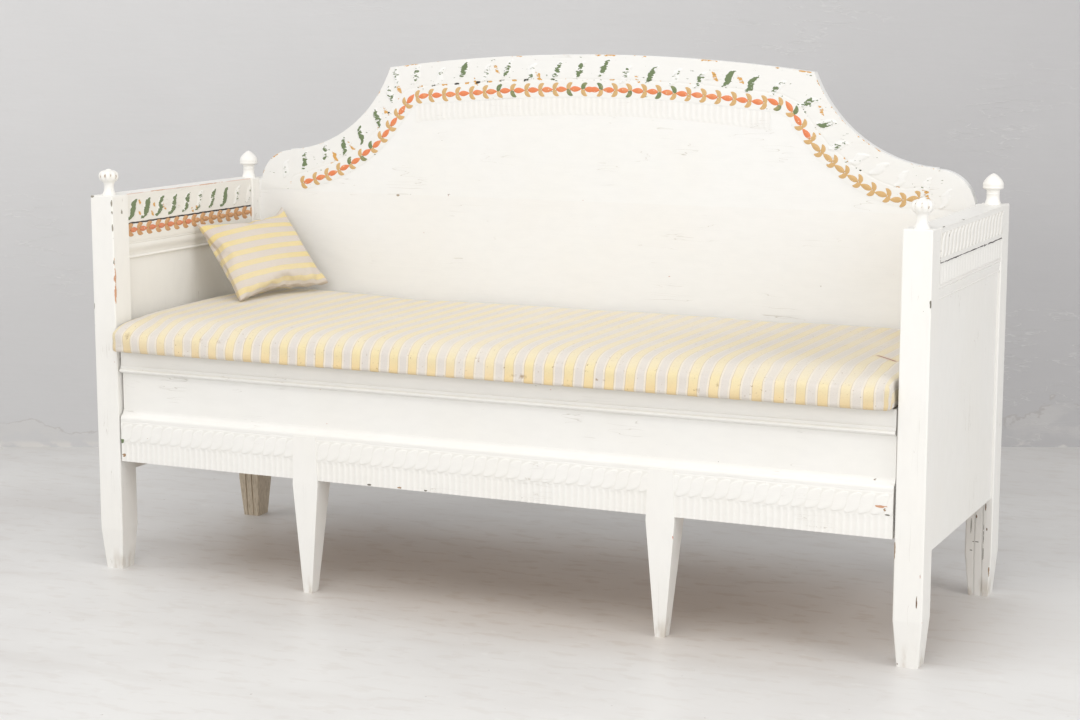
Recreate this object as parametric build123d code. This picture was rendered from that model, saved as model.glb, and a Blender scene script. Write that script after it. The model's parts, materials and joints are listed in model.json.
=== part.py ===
from build123d import *
import os

# A painted pine bench bed: four corner posts, panelled ends and a shaped back make a fixed
# frame. The front is a drawer that pulls out on two legs of its own and doubles the bed.
# X runs along the bench, Y towards the back and Z up. Z is 0 on the floor, and X and Y are 0
# in the middle of the whole bench, with its seat mattress on. All sizes are in millimetres.

# --- driving dimensions -------------------------------------------------------------------
overall_length = 1900.0  # over the outer faces of the posts
frame_depth = 642.0  # from the front faces of the front posts to the rear faces of the rear ones
mattress_overhang = 35.0  # how far the mattress stands out in front of the posts
joint_clearance = 0.2  # at the tips of tongues, tenons and pins
sliding_clearance = 0.3  # under pieces that slide or lift
worn_edge = 2.2  # bevel along the worn long edges of the posts and legs

post_width = 58.0
post_depth = 62.0
post_height = 848.0
foot_height = 93.0
foot_inset = 7.7
post_top_chamfer = 1.5
rear_foot_groove_width = 3.0  # the rear feet are built up of strips, with a groove at each joint
rear_foot_groove_depth = 2.5
rear_foot_groove_spacing = 17.0

finial_pin_diameter = 13.8
finial_pin_length = 28.0
pin_clearance = 0.1
front_finial_height = 57.0
front_ball_radius = 22.0
front_neck_radius = 11.0
front_base_radius = 15.0
rear_finial_height = 65.0
rear_dome_radius = 22.5
rear_neck_radius = 13.5
rear_base_radius = 16.5

end_rail_height = 108.0
end_rail_inner_recess = 6.0
end_tenon_thickness = 16.0
end_tenon_shoulder = 16.0  # from the rail's lower edge up to its tenons
end_tenon_length = 26.0
pin_to_tenon = 8.0  # wood left between a finial's pin and the tenon below it
panel_bottom = 219.0
panel_outer_recess = 5.5
panel_thickness = 32.0
tongue_thickness = 12.0
tongue_depth = 10.0
end_cove_height = 19.0
end_bead_height = 6.25
end_outer_projection = 4.5
end_inner_projection = 13.0
end_flute_pitch = 21.6
end_flute_depth = 2.0
end_flute_height = 36.0

back_recess = 8.0  # rear posts stand this far behind the back boards
back_thickness = 22.0
back_groove_depth = 10.0
lower_board_height = 301.0
crest_seam_drop = 28.0  # from the tops of the posts down to the seam under the crest board
board_tongue_thickness = 8.0
board_tongue_depth = 8.0

crest_rise = 334.5  # from its seam to the top of its arch
crest_corner_drop = 34.0  # from the top of the arch down to its sharp corners
crest_sweep_length = 265.5  # along X, from a corner down to the flat shelf outside it
crest_sweep_hollow = 46.9  # how far the sweep bellies below the straight line between its ends
crest_shelf_rise = 101.0  # from the seam to the shelf
crest_shelf_length = 11.0
crest_notch = 3.0  # from the shelf down to the round shoulder
crest_shoulder = 86.0  # radius of the shoulder
crest_end_step = 7.0  # from the shoulder's foot out to the post
cheek_drop = 2.0  # the crest board's cheeks stop this far below the tops of the posts

deck_height = 282.0  # top of the runners and of the bearers that carry the fixed slats
bearer_width = 30.0
bearer_height = 28.0
bearer_setback = 6.0
runner_width = 50.0
slat_thickness = 18.0
slat_count = 11
slat_gap = 5.0

drawer_end_gap = 4.5
front_board_drop = 30.0  # how far the drawer's front hangs below the deck
drawer_lid_step = 0.5  # the drawer's front stands this far below the top of the lid
drawer_board_thickness = 24.0
frieze_height = 95.0
frieze_thickness = 13.0
frieze_recess = 2.0
flute_band_height = 45.0
flute_pitch = 14.0
flute_depth = 2.2
ogee_height = 21.0
ogee_lip = 1.5
fascia_height = 34.5
bead_height = 17.0
fascia_thickness = 6.0
drawer_side_thickness = 18.0
drawer_side_clearance = 5.0  # from the drawer's sides up to the seat ledges
drawer_rear_clearance = 8.0
tail_count = 3
tail_length = 15.0
tail_flare = 4.0
cleat_width = 25.0
stop_clearance = 1.0

leg_spacing = 411.0  # from the middle of the bench to the middle of each drawer leg
leg_top_width = 54.0
leg_shoulder_width = 62.0
leg_shoulder_drop = 12.0  # from the front board's lower edge down to the widest part
leg_lap_width = 61.0
leg_depth = 54.0
leg_foot_width = 21.0
leg_foot_depth = 27.0
leg_foot_setback = 4.0

seat_height = 504.0  # top of the lid
lid_thickness = 20.0
lid_end_gap = 3.0
lid_front_gap = 1.0
lid_back_gap = 2.0
lid_board_count = 3
lid_board_gap = 1.0
ledge_height = 24.0
end_ledge_width = 50.0
back_ledge_width = 25.0
batten_height = 22.0
batten_width = 60.0
batten_spacing = 560.0
batten_end_gap = 7.0

mattress_thickness = 73.0
mattress_end_gap = 6.0
mattress_back_gap = 10.0
mattress_edge_round = 18.0

pillow_width = 264.0
pillow_length = 214.0
pillow_thickness = 72.0
pillow_bevel = 21.0
left_pillow_turn = 18.0  # degrees that its foot is turned from the line of the end panel
left_pillow_lean = 38.0  # degrees that it leans back against the end
right_pillow_turn = 0.0
right_pillow_lean = 11.0
pillow_end_gap = 6.0  # between a pillow and the end rail
pillow_back_gap = 6.0

# --- places worked out from them ----------------------------------------------------------
back_face = (frame_depth + mattress_overhang) / 2
front_face = back_face - frame_depth
half_length = overall_length / 2
post_x = half_length - post_width / 2
front_post_y = front_face + post_depth / 2
rear_post_y = back_face - post_depth / 2
clear_half = half_length - post_width  # between the posts' inner faces
bay_front = front_face + post_depth  # an end's opening runs from here
bay_back = back_face - post_depth  # to here

rail_bottom = post_height - end_rail_height
rail_inner = clear_half + end_rail_inner_recess
tenon_middle = (half_length + rail_inner) / 2
tenon_low = rail_bottom + end_tenon_shoulder
tenon_high = post_height - finial_pin_length - pin_to_tenon
panel_outer = half_length - panel_outer_recess
panel_inner = panel_outer - panel_thickness
panel_middle = (panel_outer + panel_inner) / 2

back_front = back_face - back_recess - back_thickness  # front plane of the back boards
groove_half = clear_half + back_groove_depth
crest_seam = post_height - crest_seam_drop
back_lower_seam = panel_bottom + lower_board_height

bearer_front = bay_front + bearer_setback
drawer_half = clear_half - drawer_end_gap
board_front = front_face + frieze_recess + frieze_thickness
board_back = board_front + drawer_board_thickness
drawer_inner = drawer_half - drawer_side_thickness
back_bearer_front = back_front - bearer_width
drawer_rear = back_bearer_front - drawer_rear_clearance
running_height = deck_height + sliding_clearance
lid_half = clear_half - lid_end_gap
lid_bottom = seat_height - lid_thickness
ledge_bottom = lid_bottom - ledge_height
ledge_inner = panel_inner - end_ledge_width

drawer_bottom = deck_height - front_board_drop
drawer_top = seat_height - drawer_lid_step
drawer_side_top = ledge_bottom - drawer_side_clearance
frieze_top = drawer_bottom + frieze_height
bead_bottom = drawer_top - fascia_height - bead_height

# The tie batten under the drawer slats meets the front bearer and stops the drawer.
drawer_travel = (drawer_rear - cleat_width) - (bearer_front + bearer_width) - stop_clearance


def block(x0, x1, y0, y1, z0, z1):
    """A squared board between two opposite corners."""
    centre = Pos((x0 + x1) / 2, (y0 + y1) / 2, (z0 + z1) / 2)
    return centre * Box(abs(x1 - x0), abs(y1 - y0), abs(z1 - z0))


def upright_board(outline, y_front, thickness):
    """A board cut to an outline in the X-Z plane, from its front plane backwards."""
    return Pos(0, y_front + thickness, 0) * Rot(90, 0, 0) * extrude(make_face(outline), thickness)


def single(shape):
    """The one solid of a shape, so that each node is written as a plain solid."""
    return shape.solids()[0]


def other_end(shape):
    """The same piece for the left-hand end."""
    return single(mirror(shape, about=Plane.YZ))


parts = {}


def add_pair(name, right_hand):
    """Keeps a right-hand piece and its mirror image at the left-hand end."""
    parts[name + "_right"] = right_hand
    parts[name + "_left"] = other_end(right_hand)


# --- corner posts -------------------------------------------------------------------------
def worn_section(width, depth, height):
    """The section of a post at one height, with its worn corners bevelled."""
    return Pos(0, 0, height) * chamfer(Rectangle(width, depth).vertices(), worn_edge)


def post_blank():
    """A square post whose foot tapers on all four sides."""
    foot_end = worn_section(post_width - 2 * foot_inset, post_depth - 2 * foot_inset, 0)
    foot_top = worn_section(post_width, post_depth, foot_height)
    shaft = extrude(foot_top, post_height - foot_height)
    shaft = chamfer(shaft.faces().sort_by(Axis.Z)[-1].edges(), post_top_chamfer)
    return loft([foot_end, foot_top], ruled=True) + shaft


def finial_hole():
    """The hole in a post's top for the finial's pin."""
    depth = finial_pin_length + joint_clearance
    return Pos(0, 0, post_height - depth / 2) * Cylinder(finial_pin_diameter / 2 + pin_clearance, depth)


def end_joints(y_face, inward):
    """Mortise for the end rail and groove for the end panel, cut into a post's inner side.

    y_face is the post's face towards the end panel, and inward is +1 or -1, into the post.
    """
    mortise = block(
        tenon_middle - end_tenon_thickness / 2,
        tenon_middle + end_tenon_thickness / 2,
        y_face,
        y_face + inward * (end_tenon_length + joint_clearance),
        tenon_low,
        tenon_high,
    )
    groove = block(
        panel_middle - tongue_thickness / 2,
        panel_middle + tongue_thickness / 2,
        y_face,
        y_face + inward * (tongue_depth + joint_clearance),
        panel_bottom,
        rail_bottom,
    )
    return mortise + groove


def front_post():
    post = Pos(post_x, front_post_y, 0) * (post_blank() - finial_hole())
    return single(post - end_joints(bay_front, -1))


def foot_groove():
    """The groove between two strips of a rear foot, which follows the foot's taper."""
    floor = bay_back + rear_foot_groove_depth
    outline = Polyline(
        (bay_back - rear_foot_groove_depth, 0),
        (floor + foot_inset, 0),
        (floor, foot_height),
        (floor, panel_bottom),
        (bay_back - rear_foot_groove_depth, panel_bottom),
        close=True,
    )
    wall = Plane(origin=(0, 0, 0), x_dir=(0, 1, 0), z_dir=(1, 0, 0))
    return extrude(wall * make_face(outline), rear_foot_groove_width / 2, both=True)


def rear_post():
    """As the front post, with a groove for the back boards and a foot built up of strips."""
    post = Pos(post_x, rear_post_y, 0) * (post_blank() - finial_hole())
    back_groove = block(
        clear_half,
        groove_half,
        back_front,
        back_front + back_thickness,
        panel_bottom,
        post_height,
    )
    for side in (-1, 1):
        post -= Pos(post_x + side * rear_foot_groove_spacing / 2, 0, 0) * foot_groove()
    return single(post - end_joints(bay_back, 1) - back_groove)


add_pair("post_front", front_post())
add_pair("post_rear", rear_post())


# --- finials ------------------------------------------------------------------------------
def turned(profile):
    """A turning about Z, from a closed outline in the X-Z plane."""
    return revolve(Plane.XZ * make_face(profile), Axis.Z)


def finial_pin():
    return Pos(0, 0, -finial_pin_length / 2) * Cylinder(finial_pin_diameter / 2, finial_pin_length)


def front_finial():
    """A bun-shaped ball, with a button on top, on a waisted neck."""
    base = front_base_radius
    base_edge = 0.06 * front_finial_height
    waist = 0.36 * front_finial_height
    collar = (1.1 * front_neck_radius, 0.53 * front_finial_height)
    button = (0.2 * front_ball_radius, front_finial_height)
    neck = turned(
        Line((0, 0), (base, 0))
        + Line((base, 0), (base, base_edge))
        + ThreePointArc((base, base_edge), (front_neck_radius, waist), collar)
        + Line(collar, (0, collar[1]))
        + Line((0, collar[1]), (0, 0))
    )
    swell = 0.46 * front_ball_radius
    rim = CenterArc((front_ball_radius - swell, 0.76 * front_finial_height), swell, -85, 157)
    ball = turned(
        Line((0, collar[1]), collar)
        + Line(collar, rim @ 0)
        + rim
        + Line(rim @ 1, button)
        + Line(button, (0, front_finial_height))
        + Line((0, front_finial_height), (0, collar[1]))
    )
    return neck + ball + finial_pin()


def rear_finial():
    """An acorn with a pointed dome on a straighter neck."""
    height = rear_finial_height
    base = rear_base_radius
    dome = CenterArc((0, 0.64 * height), rear_dome_radius, -22, 64)
    neck_low = (rear_neck_radius, 0.25 * height)
    neck_high = (rear_neck_radius, (dome @ 0).Y)
    tip = (0.08 * rear_dome_radius, height)
    profile = (
        Line((0, 0), (base, 0))
        + ThreePointArc((base, 0), (0.9 * base, 0.13 * height), neck_low)
        + Line(neck_low, neck_high)
        + Line(neck_high, dome @ 0)
        + dome
        + Line(dome @ 1, tip)
        + Line(tip, (0, height))
        + Line((0, height), (0, 0))
    )
    return turned(profile) + finial_pin()


def pair_of_finials(finial, y_post):
    """Two like finials, which share a node as two separate solids."""
    return Compound([single(Pos(side * post_x, y_post, post_height) * finial) for side in (-1, 1)])


parts["finials_front"] = pair_of_finials(front_finial(), front_post_y)
parts["finials_rear"] = pair_of_finials(rear_finial(), rear_post_y)


# --- ends: rail, panel and mouldings ------------------------------------------------------
def fluted_strip(length, thickness, height, pitch, depth):
    """A strip along X with upright gouged flutes in its front, which faces -Y at y = 0."""
    count = max(1, round(length / pitch))
    step = length / count
    start = -length / 2
    outline = Line((start, thickness), (start, 0))
    for index in range(count):
        left = start + index * step
        outline += ThreePointArc((left, 0), (left + step / 2, depth), (left + step, 0))
    outline += Line((-start, 0), (-start, thickness))
    outline += Line((-start, thickness), (start, thickness))
    return extrude(make_face(outline), height)


def end_rail():
    """The top rail of an end, with a band of flutes along the foot of its outer face."""
    flute_back = half_length - 2 * end_flute_depth
    flutes = fluted_strip(
        bay_back - bay_front,
        2 * end_flute_depth,
        end_flute_height,
        end_flute_pitch,
        end_flute_depth,
    )
    flutes = Pos(half_length, (bay_front + bay_back) / 2, rail_bottom) * Rot(0, 0, 90) * flutes
    upper = block(
        rail_inner, half_length, bay_front, bay_back, rail_bottom + end_flute_height, post_height
    )
    lower = block(
        rail_inner, flute_back, bay_front, bay_back, rail_bottom, rail_bottom + end_flute_height
    )
    tenons = block(
        tenon_middle - end_tenon_thickness / 2,
        tenon_middle + end_tenon_thickness / 2,
        bay_front - end_tenon_length,
        bay_back + end_tenon_length,
        tenon_low,
        tenon_high,
    )
    return single(upper + lower + flutes + tenons)


def end_panel():
    """The wide board of an end, tongued into both posts."""
    board = block(panel_inner, panel_outer, bay_front, bay_back, panel_bottom, rail_bottom)
    tongues = block(
        panel_middle - tongue_thickness / 2,
        panel_middle + tongue_thickness / 2,
        bay_front - tongue_depth,
        bay_back + tongue_depth,
        panel_bottom,
        rail_bottom,
    )
    return single(board + tongues)


def bead_and_cove(projection):
    """Two beads over a cove, as an outline from the wall outwards and upwards from its foot."""
    lip = 0.12 * projection
    neck = projection - 0.45 * end_bead_height
    hollow = 0.25 * (neck - lip)
    cove_middle = ((lip + neck) / 2 - hollow, end_cove_height / 2)
    outline = Line((0, 0), (lip, 0))
    outline += ThreePointArc((lip, 0), cove_middle, (neck, end_cove_height))
    for bead in range(2):
        low = end_cove_height + bead * end_bead_height
        high = low + end_bead_height
        outline += ThreePointArc((neck, low), (projection, (low + high) / 2), (neck, high))
    outline += Line((neck, high), (0, high))
    outline += Line((0, high), (0, 0))
    return make_face(outline)


def end_moulding(x_face, outward, projection):
    """The moulding under a rail, planted on the panel's outer (+1) or inner (-1) face."""
    foot = rail_bottom - end_cove_height - 2 * end_bead_height
    y_start = bay_back if outward > 0 else bay_front
    wall = Plane(origin=(x_face, y_start, foot), x_dir=(outward, 0, 0), z_dir=(0, -outward, 0))
    return single(extrude(wall * bead_and_cove(projection), bay_back - bay_front))


add_pair("end_rail", end_rail())
add_pair("end_panel", end_panel())
add_pair("end_moulding_outer", end_moulding(panel_outer, 1, end_outer_projection))
add_pair("end_moulding_inner", end_moulding(panel_inner, -1, end_inner_projection))


# --- back ---------------------------------------------------------------------------------
def seam_strip(z_seam, half_length, depth):
    """The strip below a seam that is a tongue at one depth and its groove at another."""
    middle = back_front + back_thickness / 2
    half = board_tongue_thickness / 2
    return block(-half_length, half_length, middle - half, middle + half, z_seam - depth, z_seam)


def tongue_below(z_seam):
    return seam_strip(z_seam, groove_half - joint_clearance, board_tongue_depth)


def groove_below(z_seam):
    return seam_strip(z_seam, groove_half, board_tongue_depth + joint_clearance)


def back_board(z_low, z_high, with_tongue):
    """A plain board between the rear posts, grooved along its top edge."""
    reach = groove_half - joint_clearance
    board = block(-reach, reach, back_front, back_front + back_thickness, z_low, z_high)
    if with_tongue:
        board += tongue_below(z_low)
    return single(board - groove_below(z_high))


def crest_board():
    """The shaped top of the back: a low arch, sharp corners, hollow sweeps and round shoulders."""
    half_width = clear_half - crest_end_step
    shoulder_start = half_width - crest_shoulder
    shelf_start = shoulder_start - crest_shelf_length
    corner_x = shelf_start - crest_sweep_length
    crest_top = crest_seam + crest_rise
    corner_top = crest_top - crest_corner_drop
    shelf_top = crest_seam + crest_shelf_rise
    shoulder_top = shelf_top - crest_notch
    shoulder_foot = shoulder_top - crest_shoulder
    right = (
        SagittaArc((corner_x, corner_top), (shelf_start, shelf_top), -crest_sweep_hollow)
        + Line((shelf_start, shelf_top), (shoulder_start, shelf_top))
        + Line((shoulder_start, shelf_top), (shoulder_start, shoulder_top))
        + RadiusArc((shoulder_start, shoulder_top), (half_width, shoulder_foot), crest_shoulder)
        + Line((half_width, shoulder_foot), (half_width, crest_seam))
    )
    arch = ThreePointArc((-corner_x, corner_top), (0, crest_top), (corner_x, corner_top))
    outline = arch + right + mirror(right, about=Plane.YZ)
    outline += Line((-half_width, crest_seam), (half_width, crest_seam))
    reach = groove_half - joint_clearance
    cheek_top = post_height - cheek_drop
    cheeks = block(-reach, reach, back_front, back_front + back_thickness, crest_seam, cheek_top)
    board = upright_board(outline, back_front, back_thickness)
    return single(board + cheeks + tongue_below(crest_seam))


parts["back_board_lower"] = back_board(panel_bottom, back_lower_seam, False)
parts["back_board_upper"] = back_board(back_lower_seam, crest_seam, True)
parts["crest_board"] = crest_board()


# --- fixed bed bottom ---------------------------------------------------------------------
bearer_bottom = deck_height - bearer_height
runner_inner = panel_inner - runner_width
slat_pitch = 2 * drawer_inner / slat_count
slat_width = slat_pitch - slat_gap


def slat(index, y0, y1, z_low):
    """One bottom board, counted from the left."""
    middle = -drawer_inner + (index + 0.5) * slat_pitch
    return single(
        block(middle - slat_width / 2, middle + slat_width / 2, y0, y1, z_low, z_low + slat_thickness)
    )


parts["slat_bearer_front"] = single(
    block(
        -panel_inner, panel_inner, bearer_front, bearer_front + bearer_width, bearer_bottom, deck_height
    )
)
parts["slat_bearer_back"] = single(
    block(-clear_half, clear_half, back_bearer_front, back_front, bearer_bottom, deck_height)
)
add_pair(
    "drawer_runner",
    single(
        block(
            runner_inner,
            panel_inner,
            bearer_front + bearer_width,
            bay_back,
            bearer_bottom,
            deck_height,
        )
    ),
)
add_pair(
    "seat_ledge",
    single(block(ledge_inner, panel_inner, bay_front, bay_back, ledge_bottom, lid_bottom)),
)
parts["seat_ledge_back"] = single(
    block(
        -clear_half, clear_half, back_front - back_ledge_width, back_front, ledge_bottom, lid_bottom
    )
)
for number, index in enumerate(range(1, slat_count, 2), 1):
    parts[f"fixed_slat_{number}"] = slat(index, bearer_front, back_front, deck_height)


# --- drawer: legs -------------------------------------------------------------------------
def drawer_leg():
    """A leg that tapers to a small foot and laps up over the drawer's front board.

    It is what its outline from the front and its outline from the side have in common.
    """
    widest = drawer_bottom - leg_shoulder_drop
    right_edge = [
        (leg_foot_width / 2, 0),
        (leg_shoulder_width / 2, widest),
        (leg_lap_width / 2, drawer_bottom),
        (leg_top_width / 2, frieze_top),
    ]
    left_edge = [(-x, z) for x, z in reversed(right_edge)]
    front_view = Plane.XZ * make_face(Polyline(*right_edge, *left_edge, close=True))
    side_view = Plane.YZ * make_face(
        Polyline(
            (front_face + leg_foot_setback, 0),
            (front_face + leg_foot_setback + leg_foot_depth, 0),
            (front_face + leg_depth, widest),
            (front_face + leg_depth, drawer_bottom),
            (board_front, drawer_bottom),
            (board_front, frieze_top),
            (front_face, frieze_top),
            (front_face, widest),
            close=True,
        )
    )
    leg = extrude(front_view, frame_depth, both=True) & extrude(side_view, leg_shoulder_width, both=True)
    return Pos(leg_spacing, 0, 0) * leg


right_leg = single(drawer_leg())
add_pair("drawer_leg", right_leg)


# --- drawer: front board, mouldings and frieze --------------------------------------------
def dovetails():
    """The tails of the right-hand side board, which are also the shape of their sockets."""
    tails = []
    room = (drawer_side_top - running_height) / tail_count
    for index in range(tail_count):
        middle = running_height + (index + 0.5) * room
        root = room / 4
        tip = root + tail_flare
        outline = Polyline(
            (board_back, middle - root),
            (board_back - tail_length, middle - tip),
            (board_back - tail_length, middle + tip),
            (board_back, middle + root),
            close=True,
        )
        wall = Plane(origin=(drawer_inner, 0, 0), x_dir=(0, 1, 0), z_dir=(1, 0, 0))
        tails.append(extrude(wall * make_face(outline), drawer_side_thickness))
    return tails


def drawer_front_board():
    """The plain board behind the front's mouldings, socketed at both ends for the sides."""
    board = block(-drawer_half, drawer_half, board_front, board_back, drawer_bottom, drawer_top)
    for tail in dovetails():
        board -= tail
        board -= other_end(tail)
    return single(board)


def along_front(outline, foot):
    """A moulding planted along the front board: outline is outwards and upwards from its foot."""
    wall = Plane(origin=(drawer_half, board_front, foot), x_dir=(0, -1, 0), z_dir=(-1, 0, 0))
    return single(extrude(wall * make_face(outline), 2 * drawer_half))


def top_moulding():
    """A flat fascia over a fillet and a bead."""
    top = drawer_top - bead_bottom
    fillet_out = fascia_thickness + 0.3 * (frieze_thickness - fascia_thickness)
    bead_top = 0.62 * bead_height
    belly = (frieze_thickness, bead_top / 2)
    under_belly = (0.75 * frieze_thickness, 0.12 * bead_height)
    over_belly = (0.9 * frieze_thickness, 0.85 * bead_top)
    outline = (
        Line((0, 0), (ogee_lip, 0))
        + ThreePointArc((ogee_lip, 0), under_belly, belly)
        + ThreePointArc(belly, over_belly, (fillet_out, bead_top))
        + Line((fillet_out, bead_top), (fillet_out, bead_height))
        + Line((fillet_out, bead_height), (fascia_thickness, bead_height))
        + Line((fascia_thickness, bead_height), (fascia_thickness, top))
        + Line((fascia_thickness, top), (0, top))
        + Line((0, top), (0, 0))
    )
    return along_front(outline, bead_bottom)


def ogee_moulding():
    """An ogee that falls back from the frieze's top to the plain field."""
    middle = ((frieze_thickness + ogee_lip) / 2, ogee_height / 2)
    round_part = (0.93 * frieze_thickness, 0.3 * ogee_height)
    hollow_part = (2.2 * ogee_lip, 0.72 * ogee_height)
    outline = (
        Line((0, 0), (frieze_thickness, 0))
        + ThreePointArc((frieze_thickness, 0), round_part, middle)
        + ThreePointArc(middle, hollow_part, (ogee_lip, ogee_height))
        + Line((ogee_lip, ogee_height), (0, ogee_height))
        + Line((0, ogee_height), (0, 0))
    )
    return along_front(outline, frieze_top)


def drawer_friezes():
    """The frieze board in three bays between the ends and the legs, fluted along its foot."""
    flutes = fluted_strip(
        2 * drawer_half, frieze_thickness, flute_band_height, flute_pitch, flute_depth
    )
    frieze = Pos(0, front_face + frieze_recess, drawer_bottom) * flutes
    frieze += block(
        -drawer_half,
        drawer_half,
        front_face + frieze_recess,
        board_front,
        drawer_bottom + flute_band_height,
        frieze_top,
    )
    frieze -= right_leg
    frieze -= other_end(right_leg)
    return frieze.solids().sort_by(Axis.X)


parts["drawer_front_board"] = drawer_front_board()
parts["drawer_top_moulding"] = top_moulding()
parts["drawer_ogee_moulding"] = ogee_moulding()
for name, bay in zip(("left", "centre", "right"), drawer_friezes()):
    parts["drawer_frieze_" + name] = bay


# --- drawer: sides, slats and battens -----------------------------------------------------
def drawer_side():
    """The right-hand side board, dovetailed into the front."""
    side = block(drawer_inner, drawer_half, board_back, drawer_rear, running_height, drawer_side_top)
    for tail in dovetails():
        side += tail
    return single(side)


add_pair("drawer_side", drawer_side())
parts["drawer_lid_ledge"] = single(
    block(
        -ledge_inner + stop_clearance,
        ledge_inner - stop_clearance,
        board_back,
        board_back + cleat_width,
        ledge_bottom,
        lid_bottom - sliding_clearance,
    )
)
parts["drawer_slat_cleat"] = single(
    block(
        -runner_inner + stop_clearance,
        runner_inner - stop_clearance,
        board_back,
        board_back + cleat_width,
        bearer_bottom,
        running_height,
    )
)
parts["drawer_tie_batten"] = single(
    block(
        -runner_inner + stop_clearance,
        runner_inner - stop_clearance,
        drawer_rear - cleat_width,
        drawer_rear,
        bearer_bottom,
        deck_height - sliding_clearance,
    )
)
for number, index in enumerate(range(0, slat_count, 2), 1):
    parts[f"drawer_slat_{number}"] = slat(index, board_back, drawer_rear, running_height)


# --- seat lid -----------------------------------------------------------------------------
lid_front = board_back + lid_front_gap
lid_back = back_front - lid_back_gap
lid_board_width = (lid_back - lid_front - (lid_board_count - 1) * lid_board_gap) / lid_board_count
for number in range(lid_board_count):
    start = lid_front + number * (lid_board_width + lid_board_gap)
    parts[f"seat_lid_board_{number + 1}"] = single(
        block(-lid_half, lid_half, start, start + lid_board_width, lid_bottom, seat_height)
    )
for name, side in (("left", -1), ("centre", 0), ("right", 1)):
    parts["seat_lid_batten_" + name] = single(
        block(
            side * batten_spacing - batten_width / 2,
            side * batten_spacing + batten_width / 2,
            board_back + cleat_width + batten_end_gap,
            back_front - back_ledge_width - batten_end_gap,
            lid_bottom - batten_height,
            lid_bottom,
        )
    )


# --- mattress and pillows -----------------------------------------------------------------
def seat_mattress():
    """The thin striped mattress, as its plain stuffed form."""
    length = 2 * (clear_half - mattress_end_gap)
    low = seat_height + sliding_clearance
    depth = (back_front - mattress_back_gap) - (front_face - mattress_overhang)
    body = Box(length, depth, mattress_thickness)
    body = fillet(body.edges().filter_by(Axis.Z), mattress_edge_round)
    body = fillet(body.faces().sort_by(Axis.Z)[-1].edges(), mattress_edge_round)
    return single(
        Pos(0, front_face - mattress_overhang + depth / 2, low + mattress_thickness / 2) * body
    )


def corner_pillow(turn, lean):
    """A small pillow that stands on the mattress and leans in the right-hand rear corner."""
    body = Box(pillow_thickness, pillow_width, pillow_length)
    body = chamfer(body.edges(), pillow_bevel)
    body = Rot(0, 0, turn) * Rot(0, lean, 0) * body
    reach = body.bounding_box()
    x_place = rail_inner - pillow_end_gap - reach.max.X
    y_place = back_front - pillow_back_gap - reach.max.Y
    z_place = seat_height + mattress_thickness + 2 * sliding_clearance - reach.min.Z
    return single(Pos(x_place, y_place, z_place) * body)


parts["mattress"] = seat_mattress()
parts["pillow_left"] = other_end(corner_pillow(left_pillow_turn, left_pillow_lean))
parts["pillow_right"] = corner_pillow(right_pillow_turn, right_pillow_lean)


os.makedirs("parts", exist_ok=True)
for name, shape in parts.items():
    export_step(shape, f"parts/{name}.step")
print(len(parts), "pieces; drawer travel", round(drawer_travel, 1), "mm")
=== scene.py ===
import math
import bmesh
import bpy
import numpy as np
from mathutils import Matrix, Vector
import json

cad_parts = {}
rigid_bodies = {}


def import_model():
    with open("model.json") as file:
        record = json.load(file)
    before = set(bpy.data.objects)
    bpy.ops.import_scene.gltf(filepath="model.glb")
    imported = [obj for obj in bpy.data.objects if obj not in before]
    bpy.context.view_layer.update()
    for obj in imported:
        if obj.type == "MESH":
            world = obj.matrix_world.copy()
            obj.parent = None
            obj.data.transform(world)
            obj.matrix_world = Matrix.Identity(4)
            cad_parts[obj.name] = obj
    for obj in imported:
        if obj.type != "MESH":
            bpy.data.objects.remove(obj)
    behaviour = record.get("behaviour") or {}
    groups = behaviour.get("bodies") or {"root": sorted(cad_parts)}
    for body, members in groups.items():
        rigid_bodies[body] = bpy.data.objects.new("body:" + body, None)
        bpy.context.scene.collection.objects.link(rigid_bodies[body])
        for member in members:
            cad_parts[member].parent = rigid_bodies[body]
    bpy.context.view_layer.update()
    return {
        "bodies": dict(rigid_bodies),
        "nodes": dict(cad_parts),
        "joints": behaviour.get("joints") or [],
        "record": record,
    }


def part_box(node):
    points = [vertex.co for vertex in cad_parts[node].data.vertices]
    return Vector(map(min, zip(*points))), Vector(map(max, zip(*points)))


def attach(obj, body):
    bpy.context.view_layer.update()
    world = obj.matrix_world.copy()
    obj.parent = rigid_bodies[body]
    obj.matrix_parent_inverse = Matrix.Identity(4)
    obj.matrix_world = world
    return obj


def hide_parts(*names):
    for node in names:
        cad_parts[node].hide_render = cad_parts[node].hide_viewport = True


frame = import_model()
nodes = frame["nodes"]


# --- corner posts --------------------------------------------------------------------------
# Four square pine posts, tapered at the foot, under thick old white oil paint. The paint has
# chipped along the corners and worn pink where arms rub it, and the feet are scuffed bare.

class Number:
    """A value in a shader. Each operator used on it adds the Math node that works it out."""

    def __init__(self, finish, socket):
        self.finish = finish
        self.socket = socket

    def math(self, operation, *others):
        sockets = dict(enumerate((self,) + others))
        return self.finish.add("ShaderNodeMath", {"operation": operation}, sockets)

    def __add__(self, other):
        return self.math("ADD", other)

    def __sub__(self, other):
        return self.math("SUBTRACT", other)

    def __mul__(self, other):
        return self.math("MULTIPLY", other)

    def __truediv__(self, other):
        return self.math("DIVIDE", other)

    def __rsub__(self, other):
        return self * -1.0 + other

    def __abs__(self):
        return self.math("ABSOLUTE")

    __radd__ = __add__
    __rmul__ = __mul__

    def most(self, other):
        return self.math("MAXIMUM", other)

    def least(self, other):
        return self.math("MINIMUM", other)

    def sine(self):
        return self.math("SINE")

    def between(self, low, high):
        """0 up to low and 1 from high, with a smooth rise between them."""
        sockets = {"Value": self, "From Min": low, "From Max": high}
        settings = {"interpolation_type": "SMOOTHSTEP"}
        return self.finish.add("ShaderNodeMapRange", settings, sockets)


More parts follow.
